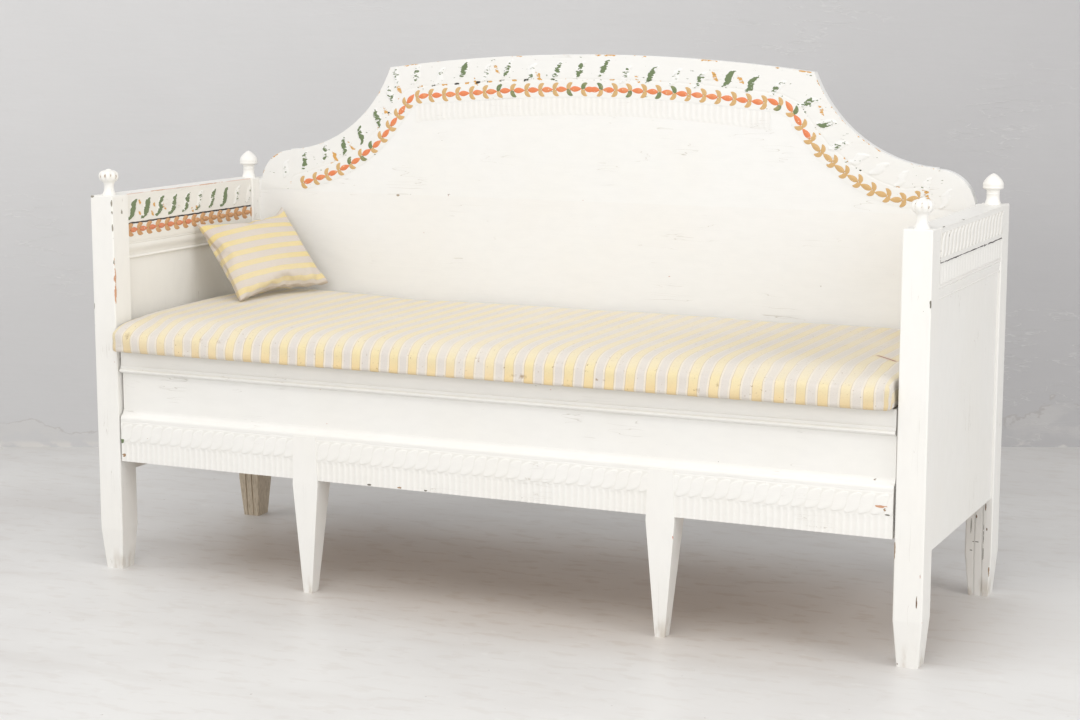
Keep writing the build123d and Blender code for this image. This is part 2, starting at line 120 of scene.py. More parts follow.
class Finish:
    """A material in the making, round its one Principled surface."""

    def __init__(self, name):
        self.material = bpy.data.materials.new(name)
        self.material.use_nodes = True
        self.tree = self.material.node_tree
        self.surface = self.tree.nodes["Principled BSDF"]
        self.place = self.add("ShaderNodeTexCoord", {}, {}, "Object")

    def add(self, kind, settings, sockets, output=0):
        """One node: its settings first, then the values or links of its sockets."""
        node = self.tree.nodes.new(kind)
        for key, value in settings.items():
            setattr(node, key, value)
        for key, value in sockets.items():
            self.set(node.inputs[key], value)
        return Number(self, node.outputs[output])

    def set(self, socket, value):
        if isinstance(value, Number):
            self.tree.links.new(value.socket, socket)
        elif hasattr(socket.default_value, "__len__") and len(socket.default_value) == 4:
            socket.default_value = (*value, 1.0)
        else:
            socket.default_value = value

    def give(self, **sockets):
        """Sets the surface's own sockets; an underscore stands for the space in a name."""
        for key, value in sockets.items():
            self.set(self.surface.inputs[key.replace("_", " ")], value)

    def axes(self):
        """The place on the object along X, Y and Z, in metres."""
        split = self.add("ShaderNodeSeparateXYZ", {}, {0: self.place}).socket.node
        return [Number(self, socket) for socket in split.outputs]

    def grit(self, scale, stretch=(1, 1, 1), detail=3.0, shift=0.0):
        """Noise about 0.5, of so many grains a metre, drawn out along an axis by stretch."""
        stretched = {"operation": "MULTIPLY_ADD"}
        by = [scale / draw for draw in stretch]
        spot = self.add("ShaderNodeVectorMath", stretched, {0: self.place, 1: by, 2: [shift] * 3})
        return self.add("ShaderNodeTexNoise", {}, {"Vector": spot, "Scale": 1.0, "Detail": detail})

    def around(self, place, reach):
        """1 at a place on the object, down to 0 at that reach from it along each axis."""
        away = self.add("ShaderNodeVectorMath", {"operation": "SUBTRACT"}, {0: self.place, 1: place})
        away = self.add("ShaderNodeVectorMath", {"operation": "DIVIDE"}, {0: away, 1: reach})
        return 1 - self.add("ShaderNodeVectorMath", {"operation": "LENGTH"}, {0: away}, "Value").least(1.0)

    def mark(self, name):
        """What a piece's mesh says at each point under that name."""
        return self.add("ShaderNodeAttribute", {"attribute_name": name}, {}, "Fac")

    def mix(self, share, first, second):
        """The first colour, giving way to the second as share goes from 0 to 1."""
        # On a colour's Mix node, 0 is the factor, 6 and 7 are the two colours, and 2 comes out.
        return self.add("ShaderNodeMix", {"data_type": "RGBA"}, {0: share, 6: first, 7: second}, 2)

    def bumped(self, height, distance):
        self.give(Normal=self.add("ShaderNodeBump", {}, {"Height": height, "Distance": distance}, "Normal"))


WHITE = (0.86, 0.85, 0.82)
IVORY = (0.80, 0.74, 0.62)
BARE_WOOD = (0.17, 0.105, 0.06)
CHIPPED_WOOD = (0.36, 0.23, 0.13)
OLD_RED = (0.62, 0.20, 0.12)
OLD_GREEN = (0.150, 0.205, 0.098)
OLD_OCHRE = (0.66, 0.36, 0.10)
OLD_BLACK = (0.035, 0.025, 0.025)
# A foot that has lost its paint is bare up to this height.
BARE_HEIGHT = 0.205


def grain_along(axis, reach):
    """The stretch of a pattern that is drawn out along one axis."""
    return [reach if axis == each else 1.0 for each in "xyz"]


def oil_paint(name, tone, grain, edge=None, rubbed=0.0, chipping=0.0, carved=0.0, soiled=0.0,
              bare_foot=0.0, flakes=()):
    """Old brushed oil paint on pine. edge gives the way to the nearest corner, in metres, and
    carved is how ragged the paint is where a mark on the mesh says that it is coming off.

    flakes are places where the paint has come off: (place, reach along each axis, what shows).
    """
    finish = Finish(name)
    strokes = finish.grit(650, grain_along(grain, 22), 2.0)
    film = finish.grit(55, grain_along(grain, 2.5), 4.0)
    patches = finish.grit(5, (1, 1, 1), 2.0)
    flaws = finish.grit(150, grain_along(grain, 3.0), 5.0)
    yellowed = [0.72 * t + 0.28 * i for t, i in zip(tone, IVORY)]
    colour = finish.mix(patches.between(0.38, 0.72) * 0.30, tone, yellowed)
    colour = finish.mix(film.between(0.3, 0.75) * 0.16, colour, [0.88 * t for t in tone])
    x, y, z = finish.axes()
    near = 0.0
    if edge:
        near = 1 - edge(x, y, z).between(0.0, 0.0045)
    chips = (flaws + near * (0.015 + chipping)).between(0.765, 0.775)
    cracks = abs(finish.grit(38, grain_along(grain, 14), 3.0, 7.0) - 0.5).between(0.0, 0.0035)
    cracks = (1 - cracks) * finish.grit(9, (1, 1, 1), 1.0, 3.0).between(0.56, 0.66)
    under = finish.mix(finish.grit(40, (1, 1, 1), 2.0, 5.0).between(0.48, 0.6), BARE_WOOD, OLD_RED)
    height = film * 0.5 + strokes * 0.22 - chips * 0.55 - cracks * 0.3
    if edge and rubbed:
        worn = near * finish.grit(26, grain_along(grain, 5), 3.0, 2.0).between(0.62 - rubbed, 0.68 - rubbed)
        colour = finish.mix(worn * 0.7, colour, (0.66, 0.40, 0.31))
    if carved:
        # Painted shade: where the mesh's hollow mark says the carving lies low, the paint is darkened to a
        # dull ivory, as if in shade.
        hollow = finish.mark("hollow")
        colour = finish.mix(hollow * 0.35, colour, [0.78 * i for i in IVORY])
        ragged = finish.grit(330, grain_along(grain, 2.6), 3.0, 11.0)
        streaks = finish.grit(120, grain_along(grain, 2.4), 2.0, 1.0)
        loss = (ragged + streaks - 1.0) * (carved / 2)
        for mark, old, start in (("ochre", OLD_OCHRE, 0.86), ("green", OLD_GREEN, 0.70),
                                 ("dark", OLD_BLACK, 0.90), ("bare", CHIPPED_WOOD, 0.90)):
            stripped = (finish.mark(mark) + loss).between(start, start + 0.045)
            colour = finish.mix(stripped, colour, old)
            height = height - stripped * 0.5
    colour = finish.mix(cracks * 0.45, colour, (0.34, 0.29, 0.22))
    colour = finish.mix(chips, colour, under)
    for place, reach, shown in flakes:
        lost = (finish.around(place, reach) * (flaws * 4.5 - 1.25)).between(0.36, 0.42)
        colour = finish.mix(lost, colour, shown)
        height = height - lost * 0.5
    if soiled:
        scuffs = finish.grit(45, grain_along("z", 3.0), 4.0, 9.0).between(0.46, 0.68)
        colour = finish.mix((1 - z.between(0.0, 0.06)) * scuffs * soiled, colour, (0.42, 0.34, 0.25))
    if bare_foot:
        gone = ((BARE_HEIGHT - z) * 14 + (film - 0.5) * 2.0).between(0.40, 0.62) * bare_foot
        dusty = finish.mix(strokes.between(0.35, 0.7), (0.66, 0.57, 0.44), (0.42, 0.34, 0.24))
        colour = finish.mix(gone, colour, dusty)
    finish.give(Base_Color=colour, Roughness=film * 0.16 + 0.36 + chips * 0.3)
    finish.bumped(height, 0.0006)
    return finish.material


def dress(node, material):
    """Gives a CAD node its finish."""
    nodes[node].data.materials.clear()
    nodes[node].data.materials.append(material)
    for polygon in nodes[node].data.polygons:
        polygon.material_index = 0


def smallest_but_one(a, b, c):
    """On a box one of the three ways to its faces is nothing, and the next is to its edge."""
    return a.most(b).least(a.most(c)).least(b.most(c))


def box_edge(low, high):
    """The way to the nearest edge of an upright box, given by two opposite corners."""
    middle = [(a + b) / 2 for a, b in zip(low, high)]
    half = [abs(b - a) / 2 for a, b in zip(low, high)]

    def edge(x, y, z):
        return smallest_but_one(*(h - abs(place - m) for place, m, h in zip((x, y, z), middle, half)))
    return edge


POST_HALF_X, POST_HALF_Y, POST_TOP = 0.029, 0.031, 0.848
FOOT_HEIGHT, FOOT_INSET = 0.093, 0.0077


def post_edge(middle_x, middle_y):
    """The way to the nearest edge of a post, down its tapered foot too."""
    def edge(x, y, z):
        taper = (FOOT_HEIGHT - z).most(0.0) * (FOOT_INSET / FOOT_HEIGHT)
        return smallest_but_one(
            POST_HALF_X - taper - abs(x - middle_x),
            POST_HALF_Y - taper - abs(y - middle_y),
            (POST_TOP - z).least(z),
        )
    return edge


PINK_PRIMER = (0.60, 0.32, 0.19)
DARK_CHIP = (0.16, 0.15, 0.12)
GREY_CHIP = (0.30, 0.28, 0.23)
POST_FLAKES = {
    "front_left": [
        ((-0.892, -0.3035, 0.654), (0.0028, 0.010, 0.078), PINK_PRIMER),
        ((-0.892, -0.3035, 0.701), (0.0032, 0.004, 0.009), GREY_CHIP),
        ((-0.893, -0.3035, 0.752), (0.0032, 0.004, 0.010), GREY_CHIP),
        ((-0.893, -0.3035, 0.778), (0.0032, 0.004, 0.014), GREY_CHIP),
        ((-0.894, -0.3035, 0.811), (0.0032, 0.004, 0.008), GREY_CHIP),
        ((-0.894, -0.3035, 0.833), (0.0032, 0.004, 0.012), GREY_CHIP),
        ((-0.946, -0.3035, 0.846), (0.009, 0.008, 0.005), GREY_CHIP),
        ((-0.949, -0.3035, 0.601), (0.003, 0.006, 0.012), GREY_CHIP),
        ((-0.892, -0.268, 0.813), (0.003, 0.006, 0.011), GREY_CHIP),
        ((-0.942, -0.3035, 0.006), (0.02, 0.01, 0.007), BARE_WOOD),
    ],
    "front_right": [
        ((0.950, -0.3035, 0.709), (0.006, 0.006, 0.012), DARK_CHIP),
        ((0.9386, -0.3035, 0.138), (0.0025, 0.006, 0.021), BARE_WOOD),
        ((0.9363, -0.3035, 0.024), (0.004, 0.006, 0.010), BARE_WOOD),
        ((0.900, -0.3035, 0.006), (0.016, 0.010, 0.008), BARE_WOOD),
        ((0.892, -0.3035, 0.232), (0.004, 0.006, 0.030), CHIPPED_WOOD),
        ((0.932, -0.3035, 0.003), (0.016, 0.010, 0.006), BARE_WOOD),
    ],
    "rear_left": [],
    "rear_right": [
        ((0.9315, 0.2765, 0.112), (0.0016, 0.006, 0.066), DARK_CHIP),
        ((0.9040, 0.2765, 0.155), (0.0014, 0.006, 0.026), DARK_CHIP),
        ((0.9120, 0.2765, 0.062), (0.0016, 0.006, 0.040), DARK_CHIP),
        ((0.9035, 0.2765, 0.1015), (0.0100, 0.006, 0.0018), DARK_CHIP),
        ((0.9145, 0.2765, 0.1210), (0.0100, 0.006, 0.0016), DARK_CHIP),
        ((0.9144, 0.2765, 0.1758), (0.0035, 0.006, 0.0070), BARE_WOOD),
        ((0.945, 0.2765, 0.050), (0.004, 0.008, 0.028), CHIPPED_WOOD),
        ((0.934, 0.2765, 0.199), (0.003, 0.006, 0.014), BARE_WOOD),
        ((0.938, 0.2765, 0.150), (0.003, 0.006, 0.006), BARE_WOOD),
        ((0.905, 0.2765, 0.262), (0.005, 0.006, 0.010), DARK_CHIP),
    ],
}
for post, flakes in POST_FLAKES.items():
    node = "post_" + post
    low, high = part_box(node)
    paint = oil_paint(
        "post_paint_" + post,
        WHITE,
        "z",
        post_edge((low.x + high.x) / 2, (low.y + high.y) / 2),
        chipping=0.035,
        soiled=0.5,
        bare_foot=0.95 if post == "rear_left" else 0.0,
        flakes=flakes,
    )
    dress(node, paint)


# --- finials -------------------------------------------------------------------------------
# Small turned knobs glued into the posts' tops. The front ones are melon-shaped, with gouged
# lobes and a button, and the rear ones are pointed acorns with a ring under the cup.

def add_piece(name, vertices, faces, body, material, sharp=35, marks=None):
    """A closed mesh as a piece of the bench, smooth but for edges sharper than that angle."""
    mesh = bpy.data.meshes.new(name)
    mesh.from_pydata(vertices, [], faces)
    mesh.polygons.foreach_set("use_smooth", [True] * len(mesh.polygons))
    mesh.materials.append(material)
    for mark, values in (marks or {}).items():
        mesh.attributes.new(mark, "FLOAT", "POINT").data.foreach_set("value", values)
    outward = bmesh.new()
    outward.from_mesh(mesh)
    bmesh.ops.recalc_face_normals(outward, faces=outward.faces)
    outward.to_mesh(mesh)
    outward.free()
    mesh.set_sharp_from_angle(angle=math.radians(sharp))
    piece = bpy.data.objects.new(name, mesh)
    bpy.context.scene.collection.objects.link(piece)
    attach(piece, body)
    return piece


def turning(profile, middle, steps, radius_at):
    """A closed turning about Z through middle: profile is (radius, height), lowest first."""
    points, faces = [], []
    for radius, height in profile:
        for step in range(steps):
            angle = 2 * math.pi * step / steps
            reach = radius_at(radius, height, angle)
            x, y = middle[0] + reach * math.cos(angle), middle[1] + reach * math.sin(angle)
            points.append((x, y, middle[2] + height))
    for ring in range(len(profile) - 1):
        for step in range(steps):
            following = (step + 1) % steps
            faces.append((ring * steps + step, ring * steps + following,
                          (ring + 1) * steps + following, (ring + 1) * steps + step))
    faces.append(tuple(reversed(range(steps))))
    faces.append(tuple(range((len(profile) - 1) * steps, len(profile) * steps)))
    return points, faces


MELON = [
    (0.0148, -0.002), (0.0150, 0.0015), (0.0146, 0.0036), (0.0128, 0.0058), (0.0116, 0.0095),
    (0.0109, 0.014), (0.0107, 0.019), (0.0111, 0.0235), (0.0122, 0.0272), (0.0132, 0.0285),
    (0.0146, 0.0296), (0.0178, 0.0318), (0.0203, 0.0350), (0.0217, 0.0390), (0.0220, 0.0430),
    (0.0212, 0.0470), (0.0190, 0.0505), (0.0155, 0.0530), (0.0110, 0.0545), (0.0072, 0.0550),
    (0.0058, 0.0556), (0.0052, 0.0566), (0.0036, 0.0574), (0.0012, 0.0577),
]
ACORN = [
    (0.0163, -0.002), (0.0165, 0.0016), (0.0161, 0.0040), (0.0150, 0.0068), (0.0139, 0.0105),
    (0.0135, 0.0160), (0.0135, 0.0210), (0.0141, 0.0216), (0.0141, 0.0226), (0.0134, 0.0232),
    (0.0134, 0.0258), (0.0140, 0.0263), (0.0140, 0.0272), (0.0136, 0.0280), (0.0146, 0.0302),
    (0.0176, 0.0318), (0.0206, 0.0330), (0.0218, 0.0345), (0.0221, 0.0362), (0.0214, 0.0376),
    (0.0214, 0.0386), (0.0221, 0.0402), (0.0216, 0.0440), (0.0196, 0.0490), (0.0160, 0.0540),
    (0.0118, 0.0583), (0.0074, 0.0617), (0.0040, 0.0638), (0.0012, 0.0650),
]
MELON_LOBES, BALL_MIDDLE, BALL_FOOT = 9, 0.043, 0.0300
KNOB_X, KNOB_STEPS = 0.921, 90


def melon_gouge(height, angle):
    """How deep the ball is cut between two lobes, fading towards its neck and its button."""
    on_ball = max(0.0, 1 - ((height - BALL_MIDDLE) / 0.0125) ** 2)
    return on_ball * abs(math.cos(MELON_LOBES * angle / 2)) ** 4


def melon_radius(radius, height, angle):
    return radius * (1 - 0.13 * melon_gouge(height, angle))


melon_paint = oil_paint("melon_paint", WHITE, "z", carved=2.6)
acorn_paint = oil_paint("acorn_paint", WHITE, "z")
for row, profile, radius_at, paint in (("front", MELON, melon_radius, melon_paint),
                                       ("rear", ACORN, lambda radius, height, angle: radius, acorn_paint)):
    low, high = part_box("finials_" + row)
    for side, x in (("left", -KNOB_X), ("right", KNOB_X)):
        points, faces = turning(profile, (x, (low.y + high.y) / 2, POST_TOP), KNOB_STEPS, radius_at)
        marks = None
        if row == "front":
            angles = [2 * math.pi * step / KNOB_STEPS for step in range(KNOB_STEPS)]
            heights = [height for radius, height in profile for angle in angles]
            gouge = [melon_gouge(height, angle) for radius, height in profile for angle in angles]
            under_ball = [max(0.0, 1 - abs(height - BALL_FOOT) / 0.0016) for height in heights]
            marks = {
                # The hollow mark is painted shade in the gouges between the lobes.
                "hollow": gouge,
                "bare": [0.92 * max(cut, foot) for cut, foot in zip(gouge, under_ball)],
                "dark": [0.80 * cut * (height > BALL_MIDDLE) for cut, height in zip(gouge, heights)],
                "ochre": [0.76 * cut * (height < BALL_MIDDLE + 0.003) for cut, height in zip(gouge, heights)],
            }
        knob = add_piece(f"knob_{row}_{side}", points, faces, "frame", paint, 50, marks)
        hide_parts("finials_" + row)


# --- ends: rails, panels and mouldings -----------------------------------------------------
# Each end is a wide pine board under a thick top rail. The rail's inner face is carved with
# leaning S gouges over a dark line and a string of husks, and its outer one with reeds.

def carved_plate(name, face, inward, body, material, marks):
    """A thin closed plate: face is its carved front, rows of points, and inward its depth."""
    rows, columns = face.shape[:2]
    back = face[:, [0, -1]] + np.array(inward)
    points = np.concatenate([face.reshape(-1, 3), back[:, 0], back[:, 1]])
    number = np.arange(rows * columns).reshape(rows, columns)
    first, last = rows * columns + np.arange(rows), rows * columns + rows + np.arange(rows)
    front = np.stack([number[:-1, :-1], number[1:, :-1], number[1:, 1:], number[:-1, 1:]], -1).reshape(-1, 4)
    near = np.stack([number[:-1, 0], first[:-1], first[1:], number[1:, 0]], -1)
    far = np.stack([number[:-1, -1], number[1:, -1], last[1:], last[:-1]], -1)
    rear = np.stack([first[:-1], last[:-1], last[1:], first[1:]], -1)
    faces = [tuple(f) for f in np.concatenate([front, near, far, rear]).tolist()]
    for row in (0, -1):
        faces.append(tuple(number[row].tolist()) + (int(last[row]), int(first[row])))
    spare = np.zeros(2 * rows)
    marks = {key: np.concatenate([values.ravel(), spare]) for key, values in marks.items()}
    return add_piece(name, points.tolist(), faces, body, material, 40, marks)


def rough(u, v, size, seed):
    """Smooth noise from -1 to 1 over a surface, with bumps of that size. The seed fixes it."""
    table = np.random.default_rng(seed).uniform(-1, 1, (97, 97))
    column, row = np.floor(u / size).astype(int), np.floor(v / size).astype(int)
    s, t = u / size - column, v / size - row
    s, t = s * s * (3 - 2 * s), t * t * (3 - 2 * t)
    near = table[column % 97, row % 97] * (1 - s) + table[(column + 1) % 97, row % 97] * s
    far = table[column % 97, (row + 1) % 97] * (1 - s) + table[(column + 1) % 97, (row + 1) % 97] * s
    return near * (1 - t) + far * t


def reed(along, across, half_height, half_width, lean):
    """How far a carved S stands up, 0 to 1, at a place measured from the middle of the S."""
    rise = np.clip(across / half_height, -1, 1)
    spine = lean * (0.25 * rise + 0.75 * rise ** 3)
    width = half_width * (1 - 0.22 * rise ** 2) * np.sqrt(np.clip(1 - rise ** 8, 1e-4, 1))
    inside = np.sqrt(np.clip(1 - ((along - spine) / width) ** 2, 0, 1))
    return np.where(np.abs(across) < half_height, inside, 0.0)


def groove(across, half_width):
    """How deep a V-shaped line goes, 0 to 1, at that distance from it."""
    return np.clip(1 - np.abs(across) / half_width, 0, 1)


# How deep the edges of a husk lie in the ground that it stands on.
SUNK = 0.0006


def husk(base, along, across, out, length, shape):
    """A bellflower: two fat side leaves, which meet at base in a crescent, and its bud.

    It opens along the string. shape is how far a leaf's tip lies along the string and across it,
    the half widths of a leaf and of the bud, all as shares of the length, and the relief, which
    is 1 where the husk is cut deepest. Returns (points, faces, petals, rims): petals has 0 and 1
    for the leaves and 2 for the bud, and rims is 1 at a petal's edge.
    """
    tip_along, tip_across, leaf_width, bud_width, relief = shape
    stations = np.linspace(0.0, 1.0, 10)
    shapes = [
        ([(0.15, 0.0), (0.04, 0.70 * tip_across * side), (tip_along, tip_across * side)], 0.0024)
        for side in (1, -1)
    ]
    shapes.append(([(0.22, 0.0), (0.60, 0.0), (1.05, 0.0)], 0.0032))
    points, faces, petals, rims = [], [], [], []
    for petal, (route, crown) in enumerate(shapes):
        start, bend, end = (np.array(p) for p in route)
        ring_start = len(points)
        for station in stations:
            u = 0.01 + 0.975 * station
            spot = (1 - u) ** 2 * start + 2 * u * (1 - u) * bend + u ** 2 * end
            heading = 2 * (1 - u) * (bend - start) + 2 * u * (end - bend)
            heading = heading / np.linalg.norm(heading)
            sideways = np.array((-heading[1], heading[0]))
            if petal == 2:
                width = bud_width * math.sin(math.pi * u ** 0.85) ** 0.75
            else:
                width = leaf_width * math.sqrt(1 - u ** 3) * (0.95 + 0.15 * math.sin(math.pi * u))
            for v in (-1.0, -0.62, 0.0, 0.62, 1.0):
                place = (spot + sideways * width * v) * length
                crowned = (1 - v * v) ** 0.7 * math.sin(math.pi * (0.16 + 0.80 * u)) ** 0.4
                rise = relief * crown * crowned - SUNK
                points.append(base + along * place[0] + across * place[1] + out * rise)
                petals.append(petal)
                rims.append(abs(v) if 0 < station < 1 else 1.0)
        for index in range(len(stations) - 1):
            here = ring_start + 5 * index
            for v in range(4):
                faces.append((here + v, here + v + 1, here + v + 6, here + v + 5))
            faces.append((here + 4, here, here + 5, here + 9))
        last = ring_start + 5 * (len(stations) - 1)
        faces.append(tuple(range(ring_start, ring_start + 5)))
        faces.append(tuple(reversed(range(last, last + 5))))
    return points, faces, petals, rims


def husk_paint(name, leaf, bud):
    """The husks' own old distemper, scraped clean of the white: leaf, bud and green leaf."""
    finish = Finish(name)
    wear = finish.grit(260, (1, 1, 1), 4.0)
    blotch = finish.grit(70, (1, 1, 1), 3.0, 4.0)
    colour = finish.mix(finish.mark("bud"), leaf, bud)
    colour = finish.mix(finish.mark("leafgreen"), colour, (0.16, 0.215, 0.095))
    colour = finish.mix(blotch.between(0.45, 0.75) * 0.35, colour, (0.70, 0.45, 0.21))
    rim = (finish.mark("rim") + (wear - 0.5) * 0.9).between(0.78, 1.0)
    colour = finish.mix(rim * 0.55, colour, (0.31, 0.16, 0.06))
    colour = finish.mix(wear.between(0.66, 0.70), colour, (0.80, 0.74, 0.62))
    finish.give(Base_Color=colour, Roughness=wear * 0.2 + 0.5)
    finish.bumped(wear + blotch * 0.5, 0.0004)
    return finish.material


def string_of_husks(name, units, out, shape, body, material):
    """units holds (base, heading, across, length, bud share, green side) for each husk."""
    points, faces = [], []
    marks = {"bud": [], "leafgreen": [], "rim": []}
    for base, along, across, length, bud_share, green_side in units:
        new_points, new_faces, petals, rims = husk(base, along, across, out, length, shape)
        faces += [tuple(len(points) + i for i in face) for face in new_faces]
        points += new_points
        marks["bud"] += [bud_share if petal == 2 else 0.0 for petal in petals]
        marks["leafgreen"] += [1.0 if petal == green_side else 0.0 for petal in petals]
        marks["rim"] += rims
    return add_piece(name, [tuple(p) for p in points], faces, body, material, 60, marks)


BAY_FRONT, BAY_BACK, PANEL_FOOT = -0.2415, 0.2765, 0.219
PANEL_INNER, PANEL_OUTER = 0.9125, 0.9445
RAIL_BOTTOM, RAIL_INNER, RAIL_OUTER = 0.740, 0.898, 0.950
# The carved plates stand this far off the rail, and this deep.
PLATE_PROUD, PLATE_DEPTH = 0.0006, 0.003
RAIL_LINE, OUTER_LINE = 0.7815, 0.7802
RAIL_HUSKS, RED_HUSKS, RAIL_HUSK_START, RAIL_HUSK_PITCH, RAIL_HUSK_LENGTH = 15, 7, -0.2395, 0.0366, 0.0375
RAIL_HUSK_MIDDLE, RAIL_HUSK_SHAPE = 0.7662, (0.58, 0.320, 0.205, 0.180, 1.0)
REEDS, REED_MIDDLE, REED_HALF_HEIGHT = 18, 0.8135, 0.0235
# Two chips among the reeds: the place, how high, and the reach along and up.
REED_CHIPS = ((-0.1895, 0.829, 0.004, 0.006), (0.1165, 0.780, 0.007, 0.004))
# How much of the white paint is gone from each S, from the front of the rail backwards.
RAIL_S_BARE = (1.30, 1.20, 1.05, 1.10, 0.98, 0.66, 0.88, 1.10, 0.66, 0.60)
RAIL_S_PITCH, RAIL_S_START, RAIL_S_MIDDLE = 0.0541, -0.2185, 0.8125
# Where ochre shows between them: (place, counted in S's; how far up; how much is gone).
RAIL_BLOBS = (
    (0.52, 0.0135, 0.98), (0.50, -0.0095, 1.0), (1.42, -0.0150, 1.15), (1.55, 0.0050, 0.85),
    (2.35, -0.0060, 0.95), (2.20, 0.0000, 0.85), (4.40, -0.0200, 1.0), (4.75, -0.0175, 0.95),
    (3.3, -0.0020, 0.75),
)

# The mouldings' outlines, inside and outside: how far each stands off the panel, and its height.
INNER_MOULDING = [
    (-0.0005, 0.7400), (0.0130, 0.7400), (0.0130, 0.7356), (0.0116, 0.7346), (0.0120, 0.7320),
    (0.0122, 0.7285), (0.0117, 0.7250), (0.0104, 0.7215), (0.0086, 0.7180), (0.0069, 0.7145),
    (0.0057, 0.7110), (0.0050, 0.7072), (0.0048, 0.7062), (0.0058, 0.7058), (0.0067, 0.7048),
    (0.0070, 0.7034), (0.0066, 0.7018), (0.0056, 0.7007), (0.0040, 0.7003),
]

OUTER_MOULDING = [
    (-0.0005, 0.7400), (0.0045, 0.7400), (0.0045, 0.7382), (0.0026, 0.7372), (0.0024, 0.7360),
    (0.0036, 0.7352), (0.0044, 0.7338), (0.0045, 0.7322), (0.0036, 0.7308), (0.0022, 0.7300),
    (0.0022, 0.7288), (0.0034, 0.7278), (0.0033, 0.7220), (0.0026, 0.7160), (0.0020, 0.7126),
    (0.0028, 0.7118), (0.0030, 0.7102), (0.0022, 0.7090), (0.0010, 0.7085),
]

# Arms have worn the left rail through to its pink ground, and knocks have chipped the right one.
RAIL_RUBBED = {"left": 0.15, "right": 0.0}
RAIL_FLAKES = {
    "left": [
        ((-0.898, -0.12, 0.848), (0.006, 0.05, 0.003), PINK_PRIMER),
        ((-0.898, 0.10, 0.848), (0.006, 0.09, 0.003), PINK_PRIMER),
    ],
    "right": [
        ((0.9503, -0.066, 0.847), (0.012, 0.010, 0.005), DARK_CHIP),
        ((0.955, -0.215, 0.847), (0.012, 0.022, 0.004), DARK_CHIP),
    ],
}

